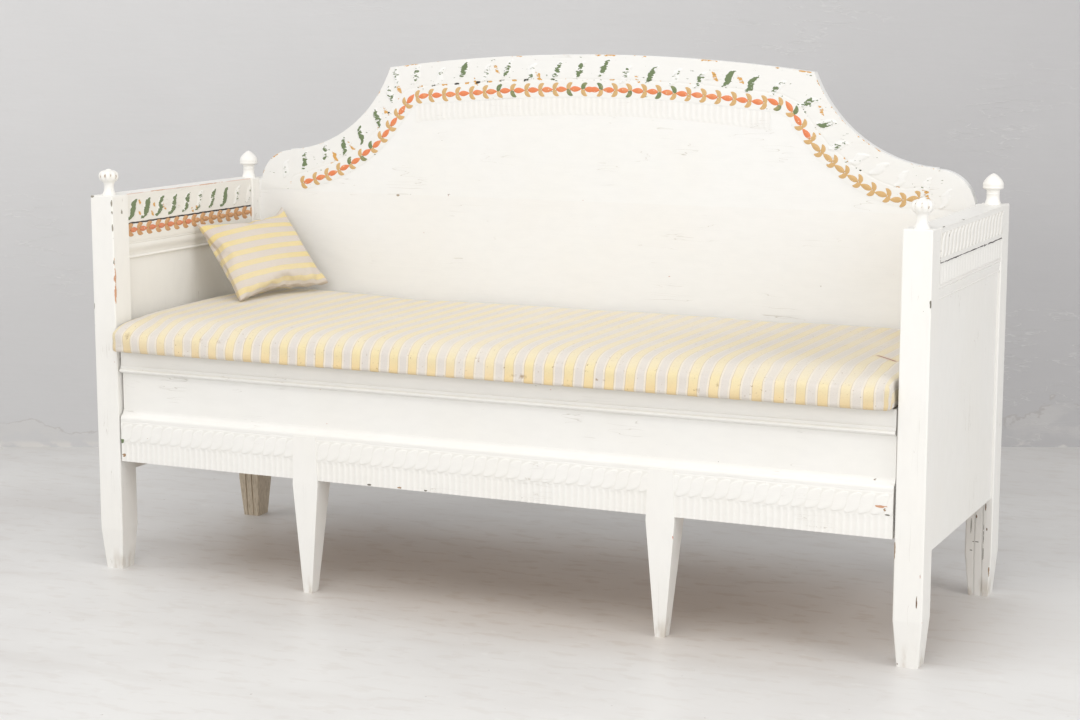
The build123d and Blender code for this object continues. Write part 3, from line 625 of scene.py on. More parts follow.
for side, way in (("left", -1), ("right", 1)):
    rail_edge = box_edge((way * RAIL_INNER, -0.4, 0.60), (way * RAIL_OUTER, 0.4, POST_TOP))
    rail_paint = oil_paint(f"rail_paint_{side}", WHITE, "y", rail_edge, rubbed=RAIL_RUBBED[side],
                           chipping=0.03, flakes=RAIL_FLAKES[side])
    panel_edge = box_edge((way * PANEL_INNER, BAY_FRONT, PANEL_FOOT), (way * PANEL_OUTER, BAY_BACK, POST_TOP))
    panel_paint = oil_paint(f"panel_paint_{side}", WHITE, "z", panel_edge, chipping=0.03)
    dress(f"end_rail_{side}", rail_paint)
    dress(f"end_panel_{side}", panel_paint)
    moulding_paint = oil_paint(f"end_moulding_paint_{side}", WHITE, "y")
    carved_paint = oil_paint(f"end_carving_paint_{side}", WHITE, "y", carved=3.0)

    # The inner face: S gouges, the dark line and the husks.
    run, rise = np.meshgrid(np.linspace(BAY_FRONT + 0.001, BAY_BACK - 0.001, 420),
                            np.linspace(RAIL_BOTTOM + 0.0005, 0.8465, 92), indexing="ij")
    height, green, ochre = np.zeros_like(run), np.zeros_like(run), np.zeros_like(run)
    wobble = 0.0014 * rough(run, rise, 0.006, 3) + 0.0018 * rough(run, rise, 0.013, 4)
    up_the_s = rise - RAIL_S_MIDDLE
    for index, bare in enumerate(RAIL_S_BARE):
        along = run - (RAIL_S_START + index * RAIL_S_PITCH) + wobble
        shape = reed(along, up_the_s, 0.0220, 0.0125 - 0.0003 * index, 0.0135)
        serif = reed(along + 0.0165, up_the_s + 0.0205, 0.0036, 0.0080, 0.0)
        height = np.maximum(height, shape * 0.0013)
        green = np.maximum(green, np.maximum(shape, serif * 0.95) * bare)
    for spot, up, bare in RAIL_BLOBS:
        along = run - (RAIL_S_START + spot * RAIL_S_PITCH) + wobble
        blob = reed(along, up_the_s - up, 0.0062, 0.0052, -0.003)
        ochre = np.maximum(ochre, np.minimum(blob * 1.6, 1) * bare)
    line = groove(rise - RAIL_LINE + 0.0006 * rough(run, rise * 0, 0.014, 14), 0.0024)
    height = height - 0.00045 * line
    face = np.stack([way * (RAIL_INNER - PLATE_PROUD - height), run, rise], -1)
    # Painted shade: the flat ground round the S gouges is darkened, as if in shade.
    hollow = 0.6 * (1 - np.minimum(height * 900, 1))
    marks = {"green": green, "ochre": ochre, "dark": 4.0 * line, "hollow": hollow}
    carved_plate(f"end_carving_inner_{side}", face, (way * PLATE_DEPTH, 0, 0), "frame", carved_paint, marks)
    units = []
    backwards, upwards = np.array((0, 1.0, 0)), np.array((0, 0, 1.0))
    for index in range(RAIL_HUSKS):
        place = RAIL_HUSK_START + index * RAIL_HUSK_PITCH
        base = (way * (RAIL_INNER - PLATE_PROUD), place, RAIL_HUSK_MIDDLE + 0.0002 * math.sin(5 * index))
        bud_share = 1.0 if index < RED_HUSKS else 0.12
        units.append((np.array(base), backwards, upwards, RAIL_HUSK_LENGTH, bud_share, -1))
    paint = husk_paint(f"end_husk_paint_{side}", (0.565, 0.305, 0.140), (0.65, 0.215, 0.105))
    string_of_husks(f"end_husks_{side}", units, np.array((-way, 0, 0)), RAIL_HUSK_SHAPE, "frame", paint)

    # Planted on the panel under it: a fillet, a long hollow and a bead inside, thin beads outside.
    for name, cad_name, outline, panel_face, outward in (
        ("hollow_moulding_", "end_moulding_inner_", INNER_MOULDING, PANEL_INNER, -1),
        ("beaded_moulding_", "end_moulding_outer_", OUTER_MOULDING, PANEL_OUTER, 1),
    ):
        profile = outline + [(outline[0][0], outline[-1][1])]
        count = len(profile)
        ends = [
            [(way * (panel_face + outward * out), y, z) for out, z in profile]
            for y in (BAY_FRONT, BAY_BACK)
        ]
        faces = [(i, (i + 1) % count, (i + 1) % count + count, i + count) for i in range(count)]
        faces += [tuple(range(count)), tuple(range(count, 2 * count))]
        moulding = add_piece(name + side, ends[0] + ends[1], faces, "frame", moulding_paint)
        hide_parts(cad_name + side)

    # The outer face: leaning reeds over a dark line, above the rail's own flutes.
    run, rise = np.meshgrid(np.linspace(BAY_FRONT + 0.001, BAY_BACK - 0.001, 420),
                            np.linspace(0.7775, 0.8470, 60), indexing="ij")
    height = np.zeros_like(run)
    for index in range(REEDS):
        middle = BAY_FRONT + (index + 0.5) * (BAY_BACK - BAY_FRONT) / REEDS
        shape = reed(run - middle, rise - REED_MIDDLE, REED_HALF_HEIGHT, 0.0098, 0.0150)
        height = np.maximum(height, shape * 0.0024)
    line = groove(rise - OUTER_LINE + 0.0005 * rough(run, rise * 0, 0.010, 15), 0.0015)
    height = height - 0.0006 * line
    for beading in (0.8405, 0.8437):
        height = height - 0.0006 * groove(rise - beading, 0.0010)
    face = np.stack([way * (RAIL_OUTER + 0.0008 + height), run, rise], -1)
    broken = 1.15 + 0.35 * np.sin(run * 61) * np.sin(run * 23 + 1)
    chips = [
        np.exp(-((run - place) / reach) ** 2 - ((rise - up) / tall) ** 2)
        for place, up, reach, tall in REED_CHIPS
    ]
    # Painted shade: the flat ground between the reeds is darkened, as if in shade.
    shade_between_reeds = (1 - np.minimum(height * 700, 1)) * (np.abs(rise - REED_MIDDLE) < REED_HALF_HEIGHT)
    lined = np.minimum(line * 3.0, 1.3) * broken
    marks = {"dark": np.maximum(lined, 1.4 * sum(chips)), "hollow": shade_between_reeds}
    carved_plate(f"end_carving_outer_{side}", face, (-way * PLATE_DEPTH, 0, 0), "frame", carved_paint, marks)


# --- back: boards and carved crest ---------------------------------------------------------
# Three wide boards, tongued together. The crest is sawn to a low arch with hollow sweeps and
# round shoulders, and carved with leaning S gouges above a garland of husks.

BACK_PLANE = 0.3085
BACK_SEAM, CREST_SEAM = 0.520, 0.820
CREAM = (0.825, 0.823, 0.812)
CREST_WHITE = (0.828, 0.832, 0.826)


def back_seams(x, y, z):
    """How near a point is to one of the two seams between the boards."""
    return abs(z - CREST_SEAM).least(abs(z - BACK_SEAM))


back_flakes = [((-0.506, BACK_PLANE, 0.818), (0.006, 0.01, 0.004), (0.40, 0.33, 0.25))]
back_paint = oil_paint("back_paint", CREAM, "x", back_seams, flakes=back_flakes)
crest_paint = oil_paint("crest_paint", CREST_WHITE, "x", lambda x, y, z: abs(z - CREST_SEAM))
for node in ("back_board_lower", "back_board_upper"):
    dress(node, back_paint)
dress("crest_board", crest_paint)


def arc_points(start, end, sagitta, count):
    """Points on an arc between two points; sagitta is how far it bows to the left of its run."""
    start, end = np.array(start), np.array(end)
    chord = end - start
    length = np.linalg.norm(chord)
    left = np.array((-chord[1], chord[0])) / length
    radius = (length ** 2 / 4 + sagitta ** 2) / (2 * sagitta)
    centre = (start + end) / 2 + left * (sagitta - radius)
    first = math.atan2(*(start - centre)[::-1])
    sweep = math.atan2(*(end - centre)[::-1]) - first
    sweep = (sweep + math.pi) % (2 * math.pi) - math.pi
    angles = first + sweep * np.linspace(0, 1, count)
    return centre + abs(radius) * np.stack([np.cos(angles), np.sin(angles)], -1)


def evenly(points, count):
    """The same line through that many points, evenly spaced along it."""
    points = np.array(points)
    run = np.concatenate([[0], np.cumsum(np.linalg.norm(np.diff(points, axis=0), axis=1))])
    places = np.linspace(0, run[-1], count)
    return np.stack([np.interp(places, run, points[:, 0]), np.interp(places, run, points[:, 1])], -1)


HALF_CREST, SHOULDER = 0.885, 0.086
CORNER = (0.5225, 1.1205)
shoulder_start = HALF_CREST - SHOULDER
quarter = np.linspace(0, math.pi / 2, 20)
right_edge = np.concatenate([
    arc_points(CORNER, (shoulder_start - 0.011, 0.921), -0.0469, 30),
    (shoulder_start, 0.832) + SHOULDER * np.stack([np.sin(quarter), np.cos(quarter)], -1),
])
left_edge = (right_edge * (-1, 1))[::-1]
top_edge = arc_points((-CORNER[0], CORNER[1]), CORNER, 0.034, 60)
sawn_edge = np.concatenate([left_edge, top_edge[1:-1], right_edge])

# The garland's line, from its left end to its right one, with a corner at each break.
GARLAND_LEFT = [
    (-0.779, 0.836), (-0.734, 0.849), (-0.700, 0.860), (-0.667, 0.873), (-0.636, 0.888),
    (-0.608, 0.906), (-0.578, 0.926), (-0.553, 0.948), (-0.531, 0.972), (-0.509, 1.000),
    (-0.490, 1.023), (-0.469, 1.047),
]
GARLAND_TOP = [
    (-0.469, 1.047), (-0.436, 1.054), (-0.365, 1.059), (-0.297, 1.064), (-0.230, 1.069),
    (-0.156, 1.072), (-0.050, 1.076), (0.044, 1.075), (0.115, 1.074), (0.187, 1.071), (0.262, 1.066),
    (0.334, 1.060), (0.404, 1.053), (0.443, 1.049),
]
GARLAND_RIGHT = [
    (0.443, 1.049), (0.474, 1.035), (0.495, 1.005), (0.519, 0.973), (0.543, 0.946), (0.572, 0.924),
    (0.601, 0.901), (0.632, 0.883), (0.664, 0.867), (0.698, 0.856), (0.733, 0.850), (0.770, 0.857),
]
BAND_FOOT = 0.018
garland = evenly(GARLAND_LEFT + GARLAND_TOP[1:] + GARLAND_RIGHT[1:], 1600)
garland_length = np.linalg.norm(np.diff(garland, axis=0), axis=1).sum()
garland_heading = np.gradient(garland, axis=0)
garland_heading /= np.linalg.norm(garland_heading, axis=1)[:, None]


def on_garland(distance):
    """(place, heading, across) that far along the garland from its left end."""
    index = min(len(garland) - 1, max(0, round(distance / garland_length * (len(garland) - 1))))
    heading = garland_heading[max(0, index - 6):index + 7].mean(0)
    heading /= np.linalg.norm(heading)
    return garland[index], heading, np.array((-heading[1], heading[0]))


# The carved field lies between the sawn edge and a white band's foot under the garland.
columns = evenly(sawn_edge, 1500)[2:-2]
beyond = np.concatenate([[(-0.900, 0.8215)], garland[::5], [(0.900, 0.8405)]])
beyond = evenly(beyond, 700)
sideways = columns[:, :1] - beyond[None, :, 0]
within = np.abs(sideways) < BAND_FOOT
foot = beyond[None, :, 1] - np.sqrt(np.where(within, BAND_FOOT ** 2 - sideways ** 2, 0))
foot = np.maximum(np.where(within, foot, 9.0).min(1), CREST_SEAM + 0.0025)
share = np.linspace(0, 1, 62)[None, :]
x = np.repeat(columns[:, :1], 62, 1)
z = foot[:, None] * (1 - share) + columns[:, 1:] * share

# Where the white has come off the S gouges: (place along X, place along Z, how much is gone).
CREST_BARE = [
    (-0.761, 0.893, 0.98), (-0.705, 0.914, 0.86), (-0.652, 0.930, 1.08), (-0.605, 0.958, 1.25),
    (-0.560, 0.999, 1.05), (-0.524, 1.056, 0.66), (-0.507, 1.096, 0.70), (-0.452, 1.104, 0.66),
    (-0.390, 1.100, 0.45), (-0.328, 1.117, 1.10), (-0.270, 1.110, 0.55), (-0.215, 1.120, 0.80),
    (-0.155, 1.112, 0.50), (-0.091, 1.117, 0.92), (-0.033, 1.119, 0.90), (0.026, 1.124, 0.88),
    (0.078, 1.109, 0.60), (0.142, 1.111, 1.20), (0.200, 1.106, 0.50), (0.258, 1.100, 0.76),
    (0.326, 1.103, 1.30), (0.380, 1.093, 1.20), (0.438, 1.084, 0.70), (0.510, 1.054, 0.90),
    (0.552, 1.010, 0.90), (0.580, 0.962, 0.60), (0.625, 0.935, 0.0), (0.672, 0.915, 0.0),
    (0.722, 0.895, 0.0), (0.775, 0.878, 0.25), (0.820, 0.855, 0.0), (-0.815, 0.872, 0.3),
]
CREST_HOOKS = [
    (-0.678, 0.906, 1.35), (-0.632, 0.932, 0.95), (-0.535, 1.016, 0.90), (-0.501, 1.070, 1.0),
    (-0.243, 1.120, 0.90), (-0.137, 1.104, 1.0), (0.293, 1.108, 0.95), (0.354, 1.103, 1.0),
    (-0.300, 1.090, 0.80), (0.110, 1.098, 0.80), (0.541, 1.038, 0.95), (0.779, 0.862, 1.0),
]

CREST_S_HALF = 0.0195
CREST_FACE = BACK_PLANE - 0.0007
height, green, ochre = np.zeros_like(x), np.zeros_like(x), np.zeros_like(x)
wobble = 0.0016 * rough(x, z, 0.006, 5) + 0.0022 * rough(x, z, 0.013, 6)
for place_x, place_z, bare in CREST_BARE:
    spot = np.argmin((garland[:, 0] - place_x) ** 2 + (garland[:, 1] - place_z) ** 2)
    heading = garland_heading[max(0, spot - 40):spot + 41].mean(0)
    heading /= np.linalg.norm(heading)
    along = (x - place_x) * heading[0] + (z - place_z) * heading[1] + wobble
    across = -(x - place_x) * heading[1] + (z - place_z) * heading[0]
    shape = reed(along, across, CREST_S_HALF, 0.0088, 0.0135)
    height = np.maximum(height, shape * 0.0013)
    green = np.maximum(green, shape * bare * (1.06 - 0.34 * (across / CREST_S_HALF) ** 2))
for place_x, place_z, bare in CREST_HOOKS:
    shape = reed(x - place_x + wobble, z - place_z, 0.011, 0.0055, -0.008)
    ochre = np.maximum(ochre, np.minimum(shape * 2, 1) * bare)
to_garland = np.concatenate([
    np.hypot(part_x[..., None] - garland[::5, 0], part_z[..., None] - garland[::5, 1]).min(-1)
    for part_x, part_z in zip(np.array_split(x, 12), np.array_split(z, 12))
])
above = z > np.interp(x, garland[:, 0], garland[:, 1])
line = groove(to_garland - 0.0235, 0.0024) * above
height = height - 0.0005 * line
# Of the dark line above the garland only dashes are left, every other one scraped to ochre.
DASH_PITCH, FIRST_DASH = 0.0305, -0.418
turn = 2 * math.pi * (x - FIRST_DASH) / DASH_PITCH + 0.8 * rough(x, x * 0, 0.05, 8)
dash = np.clip(0.3 + 1.6 * np.sin(turn), 0, 1)
dash *= np.minimum(line * 3, 1) * np.where((x > -0.44) & (x < -0.16), 1.25, 0.60)
odd = np.floor((x - FIRST_DASH) / DASH_PITCH) % 2
dark = 0.88 * dash * (1 - odd)
green = np.maximum(green, 0.80 * dash * (1 - odd))
ochre = np.maximum(ochre, dash * odd)
to_top = columns[:, 1:] - z
rim = np.clip(1 - to_top / 0.0065, 0, 1) * (0.62 + 0.75 * rough(x, z, 0.024, 9))
ochre = np.maximum(ochre, rim)
face = np.stack([x, CREST_FACE - height, z], -1)
face[:, -1, 2] += 0.0008 * rough(x[:, -1], z[:, -1], 0.007, 10) - 0.0006
# Painted shade: the flat ground round the S gouges is darkened, as if in shade.
hollow = 0.45 * (1 - np.minimum((height + 0.0007) * 600, 1))
marks = {"green": green, "ochre": ochre, "dark": dark, "hollow": hollow}
crest_carving_paint = oil_paint("crest_carving_paint", CREST_WHITE, "x", carved=4.5)
carved_plate("crest_carving", face, (0, 0.003, 0), "frame", crest_carving_paint, marks)

HUSK_PITCH, CREST_HUSK_SHAPE = 0.0356, (0.44, 0.415, 0.190, 0.222, 0.54)
# The buds are red up to this place along X, and ochre beyond it.
RED_TO_HERE = 0.54
GREEN_LEAVES = [
    (-0.588, 0), (-0.610, 1), (-0.643, 0), (-0.443, 0), (-0.205, 1), (-0.240, 0), (-0.058, 1),
    (-0.025, 0), (0.017, 1), (0.090, 0), (0.163, 0), (0.199, 1), (0.455, 0), (0.475, 1),
]
units = []
meeting = np.argmin(np.abs(garland[:, 0] + 0.003)) / (len(garland) - 1) * garland_length
for way in (-1, 1):
    first = meeting + way * 0.027
    for index in range(int((first if way < 0 else garland_length - first) / HUSK_PITCH) + 1):
        place, heading, across = on_garland(first + way * index * HUSK_PITCH)
        units.append((place, -way * heading, -way * across))
crest_units = []
for place, heading, across in units:
    share = 1.0 if place[0] < RED_TO_HERE else 0.0
    picked = [side for green_x, side in GREEN_LEAVES if abs(green_x - place[0]) < 0.012]
    crest_units.append((
        np.array((place[0], CREST_FACE, place[1])),
        np.array((heading[0], 0, heading[1])),
        np.array((across[0], 0, across[1])),
        HUSK_PITCH,
        share,
        picked[0] if picked else -1,
    ))
crest_husk_paint = husk_paint("crest_husk_paint", (0.60, 0.385, 0.165), (0.73, 0.215, 0.085))
forwards = np.array((0, -1.0, 0))
string_of_husks("crest_garland", crest_units, forwards, CREST_HUSK_SHAPE, "frame", crest_husk_paint)

# Shallow flutes hang under the top of the garland.
CREST_FLUTE_PITCH, CREST_FLUTE_LENGTH = 0.0142, 0.040
run = np.linspace(-0.455, 0.425, 640)
top_of_flutes = np.interp(run, garland[:, 0], garland[:, 1]) - BAND_FOOT - 0.0008
share = np.linspace(0, 1, 26)[None, :]
x = np.repeat(run[:, None], 26, 1)
z = top_of_flutes[:, None] - CREST_FLUTE_LENGTH * (1 - share)
gouge = np.abs(np.sin(math.pi * x / CREST_FLUTE_PITCH)) ** 1.4
height = 0.0009 * (1 - gouge) * np.minimum(share * 6, 1)
face = np.stack([x, BACK_PLANE - 0.00025 - height, z], -1)
# Painted shade: the flutes' gouges are darkened, as if in shade.
marks = {"hollow": 0.25 * gouge * np.minimum(share * 3, 1)}
crest_flute_paint = oil_paint("crest_flute_paint", CREAM, "x", carved=1.0)
carved_plate("crest_flutes", face, (0, 0.002, 0), "frame", crest_flute_paint, marks)


# --- bed bottom, runners and ledges --------------------------------------------------------
# Bare pine: eleven boards cross the bench on two bearers, every other one fixed to the frame
# and the rest to the drawer, so that they slide between each other as the drawer comes out.

def bare_pine(name, grain, shade=1.0):
    """Planed pine gone brown with age, with growth rings, knots and a little dust."""
    finish = Finish(name)
    rings = finish.grit(30, grain_along(grain, 16), 2.0)
    bands = (rings * 62).sine() * 0.5 + 0.5
    fibre = finish.grit(900, grain_along(grain, 45), 2.0)
    stain = finish.grit(6, grain_along(grain, 2), 4.0)
    knots = 1 - finish.grit(11, grain_along(grain, 1.6), 0.0, 20.0).between(0.20, 0.235)
    light, dark = (0.58, 0.40, 0.22), (0.42, 0.25, 0.12)
    light, dark = [shade * c for c in light], [shade * c for c in dark]
    colour = finish.mix(bands * 0.55 + fibre * 0.25, light, dark)
    colour = finish.mix(stain.between(0.45, 0.75) * 0.5, colour, [0.55 * c for c in dark])
    colour = finish.mix(knots, colour, (0.12, 0.055, 0.025))
    finish.give(Base_Color=colour, Roughness=fibre * 0.2 + 0.58)
    finish.bumped(bands * 0.35 + fibre * 0.6 - knots * 0.4, 0.0005)
    return finish.material


pine_across = bare_pine("pine_across", "y")
pine_along = bare_pine("pine_along", "x", 0.92)
RUN_ACROSS = ("fixed_slat", "drawer_slat_", "drawer_runner", "seat_ledge_left", "seat_ledge_right")
RUN_ALONG = ("slat_bearer_front", "slat_bearer_back", "seat_ledge_back",
             "drawer_slat_cleat", "drawer_lid_ledge", "drawer_tie_batten")
for node in sorted(nodes):
    if node in RUN_ALONG:
        dress(node, pine_along)
    elif node.startswith(RUN_ACROSS):
        dress(node, pine_across)


# --- drawer: front, mouldings and sides ----------------------------------------------------
# The front is one wide board with planted mouldings and a carved frieze of slanting scrolls
# over upright flutes. Its sides are dovetailed to it and its legs lap over it.

DRAWER_BOTTOM, DRAWER_TOP = 0.252, 0.5035
DRAWER_HALF = 0.8875
front_edge = box_edge((-DRAWER_HALF, -0.3035, DRAWER_BOTTOM), (DRAWER_HALF, -0.2645, DRAWER_TOP))
front_paint = oil_paint("drawer_front_paint", WHITE, "x", front_edge, chipping=0.02)
for node in ("drawer_front_board", "drawer_top_moulding", "drawer_ogee_moulding"):
    dress(node, front_paint)
for node in ("drawer_side_left", "drawer_side_right"):
    dress(node, bare_pine(node + "_pine", "y", 0.95))

FRIEZE_FRONT, FRIEZE_BACK, FRIEZE_TOP, FRIEZE_LINE = -0.3015, -0.2885, 0.347, 0.3430
SCROLL_PITCH, SCROLL_START, SCROLL_MIDDLE, SCROLL_FOOT = 0.0267, 0.0072, 0.3180, 0.297
FLUTES, FLUTE_TOP = 127, 0.2955
FLUTE_PITCH = 2 * DRAWER_HALF / FLUTES
# Each is its place along X and Z, its reach along them, and what shows.
FRIEZE_FLAKES = [
    (-0.8865, 0.3004, 0.010, 0.010, OLD_GREEN), (-0.882, 0.266, 0.007, 0.007, CHIPPED_WOOD),
    (-0.254, 0.255, 0.007, 0.003, DARK_CHIP), (-0.183, 0.255, 0.010, 0.004, CHIPPED_WOOD),
    (-0.121, 0.2545, 0.009, 0.0025, DARK_CHIP), (0.864, 0.3150, 0.018, 0.0045, PINK_PRIMER),
    (0.8716, 0.3085, 0.005, 0.005, CHIPPED_WOOD), (0.876, 0.2990, 0.008, 0.0025, DARK_CHIP),
]
frieze_flakes = [
    ((x, FRIEZE_FRONT, z), (reach_x, 0.006, reach_z), shown)
    for x, z, reach_x, reach_z, shown in FRIEZE_FLAKES
]
frieze_paint = oil_paint("frieze_paint", WHITE, "x", carved=1.0, flakes=frieze_flakes)
for bay in ("left", "centre", "right"):
    low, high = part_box("drawer_frieze_" + bay)
    columns = round((high.x - low.x) / 0.0012)
    run, rise = np.meshgrid(np.linspace(low.x, high.x, columns),
                            np.linspace(DRAWER_BOTTOM, FRIEZE_TOP, 66), indexing="ij")
    wander = 0.0007 * np.sin(run * 37) + 0.0005 * np.sin(run * 91 + 1)
    across = 2 * ((run + DRAWER_HALF) / FLUTE_PITCH % 1) - 1
    gouge = np.sqrt(np.clip(1 - (across / 0.78) ** 2, 0, 1))
    flute_end = np.sqrt(np.clip((FLUTE_TOP + wander - rise) / 0.006, 0, 1))
    scroll = np.zeros_like(run)
    for index in range(math.floor(low.x / SCROLL_PITCH) - 1, math.ceil(high.x / SCROLL_PITCH) + 1):
        along = run - SCROLL_START - index * SCROLL_PITCH
        shape = reed(along, rise - SCROLL_MIDDLE - wander, 0.0205, 0.0132, 0.0120)
        scroll = np.maximum(scroll, shape * (rise > SCROLL_FOOT))
    # Many coats of paint have all but filled the flutes.
    depth = 0.0013 + 0.0006 * rough(run, rise * 0, 0.11, 12)
    line = groove(rise - FRIEZE_LINE - wander, 0.0014)
    height = 0.0014 * scroll - depth * gouge * flute_end - 0.0007 * line
    # Painted shade: the flutes' gouges and the ground beside the scrolls are darkened, as if in shade.
    shade_beside_scrolls = (1 - np.minimum(scroll * 2.5, 1)) * (rise > 0.2965) * (rise < 0.3405)
    marks = {"hollow": 0.25 * gouge * flute_end + 0.35 * shade_beside_scrolls}
    face = np.stack([run, FRIEZE_FRONT - height, rise], -1)
    inward = (0, FRIEZE_BACK - FRIEZE_FRONT, 0)
    plate = carved_plate("frieze_carving_" + bay, face, inward, "drawer", frieze_paint, marks)
    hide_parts("drawer_frieze_" + bay)


# --- drawer legs ---------------------------------------------------------------------------
# Two legs lap over the frieze and taper to small feet, which slide on the floor when the
# drawer is pulled out. Their paint is chipped down the corners.

LEG_X, LEG_FRONT, LEG_HALF = 0.411, -0.3035, 0.031
# It is widest where it leaves the frieze: below that it tapers to the foot, and above it a little.
LEG_HIP, LEG_TAPER, LAP_TAPER = 0.240, 0.5 * 0.041 / 0.240, 0.5 * 0.008 / 0.107


def leg_edge(way):
    """The way to the nearest edge of the front of a leg."""
    def edge(x, y, z):
        spread = (z - LEG_HIP).least(0.0) * LEG_TAPER + LEG_HALF
        lap = (z - LEG_HIP).most(0.0) * LAP_TAPER
        return (spread - lap - abs(x - way * LEG_X)).most(y - LEG_FRONT)
    return edge


for side, way in (("left", -1), ("right", 1)):
    leg_paint = oil_paint(f"leg_paint_{side}", WHITE, "z", leg_edge(way), chipping=0.03, soiled=0.5)
    dress("drawer_leg_" + side, leg_paint)


# --- seat lid ------------------------------------------------------------------------------
# Three loose bare boards on battens, which cover the bedding box and carry the mattress.

for node in sorted(nodes):
    if node.startswith("seat_lid_board"):
        dress(node, pine_along)
    if node.startswith("seat_lid_batten"):
        dress(node, pine_across)


# --- mattress ------------------------------------------------------------------------------
# A thin stuffed mattress in yellow and grey striped cotton. Its stripes run from front to
# back and down over the edge, and it is a little soft and soiled along the front.

STRIPE_PITCH = 0.0443


def striped_cotton(name, grey, gold, edging, stains=(), creases=()):
    """Plain weave: yellow stripes edged with a thin brown thread, and grey ones edged with cream.

    edging is how much the edges show. stains are (place, reach, how strong), and creases are
    (where one starts, its heading, its length), seen from above.
    """
    finish = Finish(name)
    across = finish.mark("across")
    along = finish.mark("along")
    sway = finish.grit(9, (1, 1, 1), 2.0) * 0.004 - 0.002
    turn = (across + sway) * (2 * math.pi / STRIPE_PITCH)
    wave = turn.sine()
    yellow = wave.between(0.14, 0.26)
    cream = wave.between(-0.50, -0.36)
    thread = 1 - abs(wave - 0.16).between(0.04, 0.12)
    ribs = (across * (2 * math.pi / 0.0009)).sine() * (along * (2 * math.pi / 0.0011)).sine()
    slubs = finish.grit(420, (1, 1, 1), 3.0)
    fade = finish.grit(4.5, (1, 1, 1), 3.0, 3.0)
    blots = finish.grit(190, (1, 1, 1), 4.0, 6.0)
    colour = finish.mix(cream * edging, grey, (0.84, 0.77, 0.665))
    colour = finish.mix(yellow, colour, gold)
    colour = finish.mix(thread * (edging * 0.42 + 0.16), colour, (0.50, 0.33, 0.16))
    faded = fade.between(0.40, 0.70) * 0.35 + finish.mark("top") * 0.30
    colour = finish.mix(faded, colour, (0.85, 0.79, 0.685))
    colour = finish.mix(slubs.between(0.45, 0.8) * 0.16, colour, (0.50, 0.40, 0.26))
    low = finish.mark("low") * (0.6 + finish.grit(14, (1, 1, 1), 2.0, 8.0) * 0.8)
    colour = finish.mix(low.least(1.0) * yellow * 0.55, colour, (0.82, 0.56, 0.25))
    # Partly painted shade: the seam mark darkens the cloth to brown along the sewn seams, and stands in too
    # for the shade along the mattress's lower edge and the pillows' rims.
    seam_and_shade = finish.mark("seam_and_shade").between(0.55, 0.95)
    colour = finish.mix(seam_and_shade * 0.40, colour, (0.42, 0.30, 0.17))
    height = ribs * 0.35 + slubs * 0.9 - seam_and_shade * 1.2
    for place, reach, strength in stains:
        stain = (finish.around(place, reach) + (blots - 0.5) * 1.4).between(0.20, 0.75)
        colour = finish.mix(stain * strength, colour, (0.33, 0.20, 0.08))
    x, y, z = finish.axes()
    for start, heading, length in creases:
        u = (x - start[0]) * math.cos(heading) + (y - start[1]) * math.sin(heading)
        v = abs((y - start[1]) * math.cos(heading) - (x - start[0]) * math.sin(heading) + sway * 0.8)
        inside = u.between(0.0, 0.02) * (1 - u.between(length - 0.006, length)) * finish.mark("top")
        # Painted shade: each crease is a dark red-brown line in a broad yellow-brown band, the fold's shade,
        # and it is dented by the bump as well.
        crease_dent_and_shade = (1 - v.between(0.0012, 0.0048)) * inside
        colour = finish.mix((1 - v.between(0.0, 0.020)) * inside * 0.35, colour, (0.70, 0.50, 0.22))
        colour = finish.mix(crease_dent_and_shade * 0.85, colour, (0.36, 0.11, 0.07))
        height = height - crease_dent_and_shade * 2.5
    finish.give(Base_Color=colour, Roughness=0.88, Sheen_Weight=0.25, Sheen_Roughness=0.5)
    finish.bumped(height, 0.0004)
    return finish.material


def box_skin(name, counts, shape):
    """A box's skin as an even net; shape places a point given as shares of its sides, -1 to 1."""
    net = bmesh.new()
    made = {}

    def corner(*key):
        if key not in made:
            made[key] = net.verts.new(shape(*(2 * k / n - 1 for k, n in zip(key, counts))))
        return made[key]

    for axis in range(3):
        one, other = [each for each in range(3) if each != axis]
        for end in (0, counts[axis]):
            for i in range(counts[one]):
                for j in range(counts[other]):
                    loop = []
                    for di, dj in ((0, 0), (1, 0), (1, 1), (0, 1)):
                        key = [0, 0, 0]
                        key[axis], key[one], key[other] = end, i + di, j + dj
                        loop.append(corner(*key))
                    net.faces.new(loop)
    bmesh.ops.recalc_face_normals(net, faces=net.faces)
    mesh = bpy.data.meshes.new(name)
    net.to_mesh(mesh)
    net.free()
    mesh.polygons.foreach_set("use_smooth", [True] * len(mesh.polygons))
    piece = bpy.data.objects.new(name, mesh)
    bpy.context.scene.collection.objects.link(piece)
    return piece


def points_of(mesh):
    """A mesh's points, in rows."""
    flat = np.empty(len(mesh.vertices) * 3)
    mesh.vertices.foreach_get("co", flat)
    return flat.reshape(-1, 3)


def stuffed(piece, pressure, frames, loose, held=()):
    """Where a cover's points come to when it is blown up as cloth. The held ones stay put."""
    filling = piece.modifiers.new("filling", "CLOTH")
    cloth = filling.settings
    cloth.quality = 5
    cloth.mass = 0.3
    cloth.use_pressure = True
    cloth.uniform_pressure_force = pressure
    cloth.tension_stiffness = cloth.compression_stiffness = 15
    cloth.shear_stiffness = 5
    cloth.bending_stiffness = 0.3
    cloth.shrink_min = -loose
    cloth.effector_weights.gravity = 0
    filling.collision_settings.use_collision = False
    if len(held):
        piece.vertex_groups.new(name="held").add(held, 1.0, "REPLACE")
        cloth.vertex_group_mass = "held"
    filling.point_cache.frame_end = frames
    for frame in range(1, frames + 1):
        bpy.context.scene.frame_set(frame)
    settled = points_of(piece.evaluated_get(bpy.context.evaluated_depsgraph_get()).data)
    piece.modifiers.remove(filling)
    bpy.context.scene.frame_set(1)
    return settled


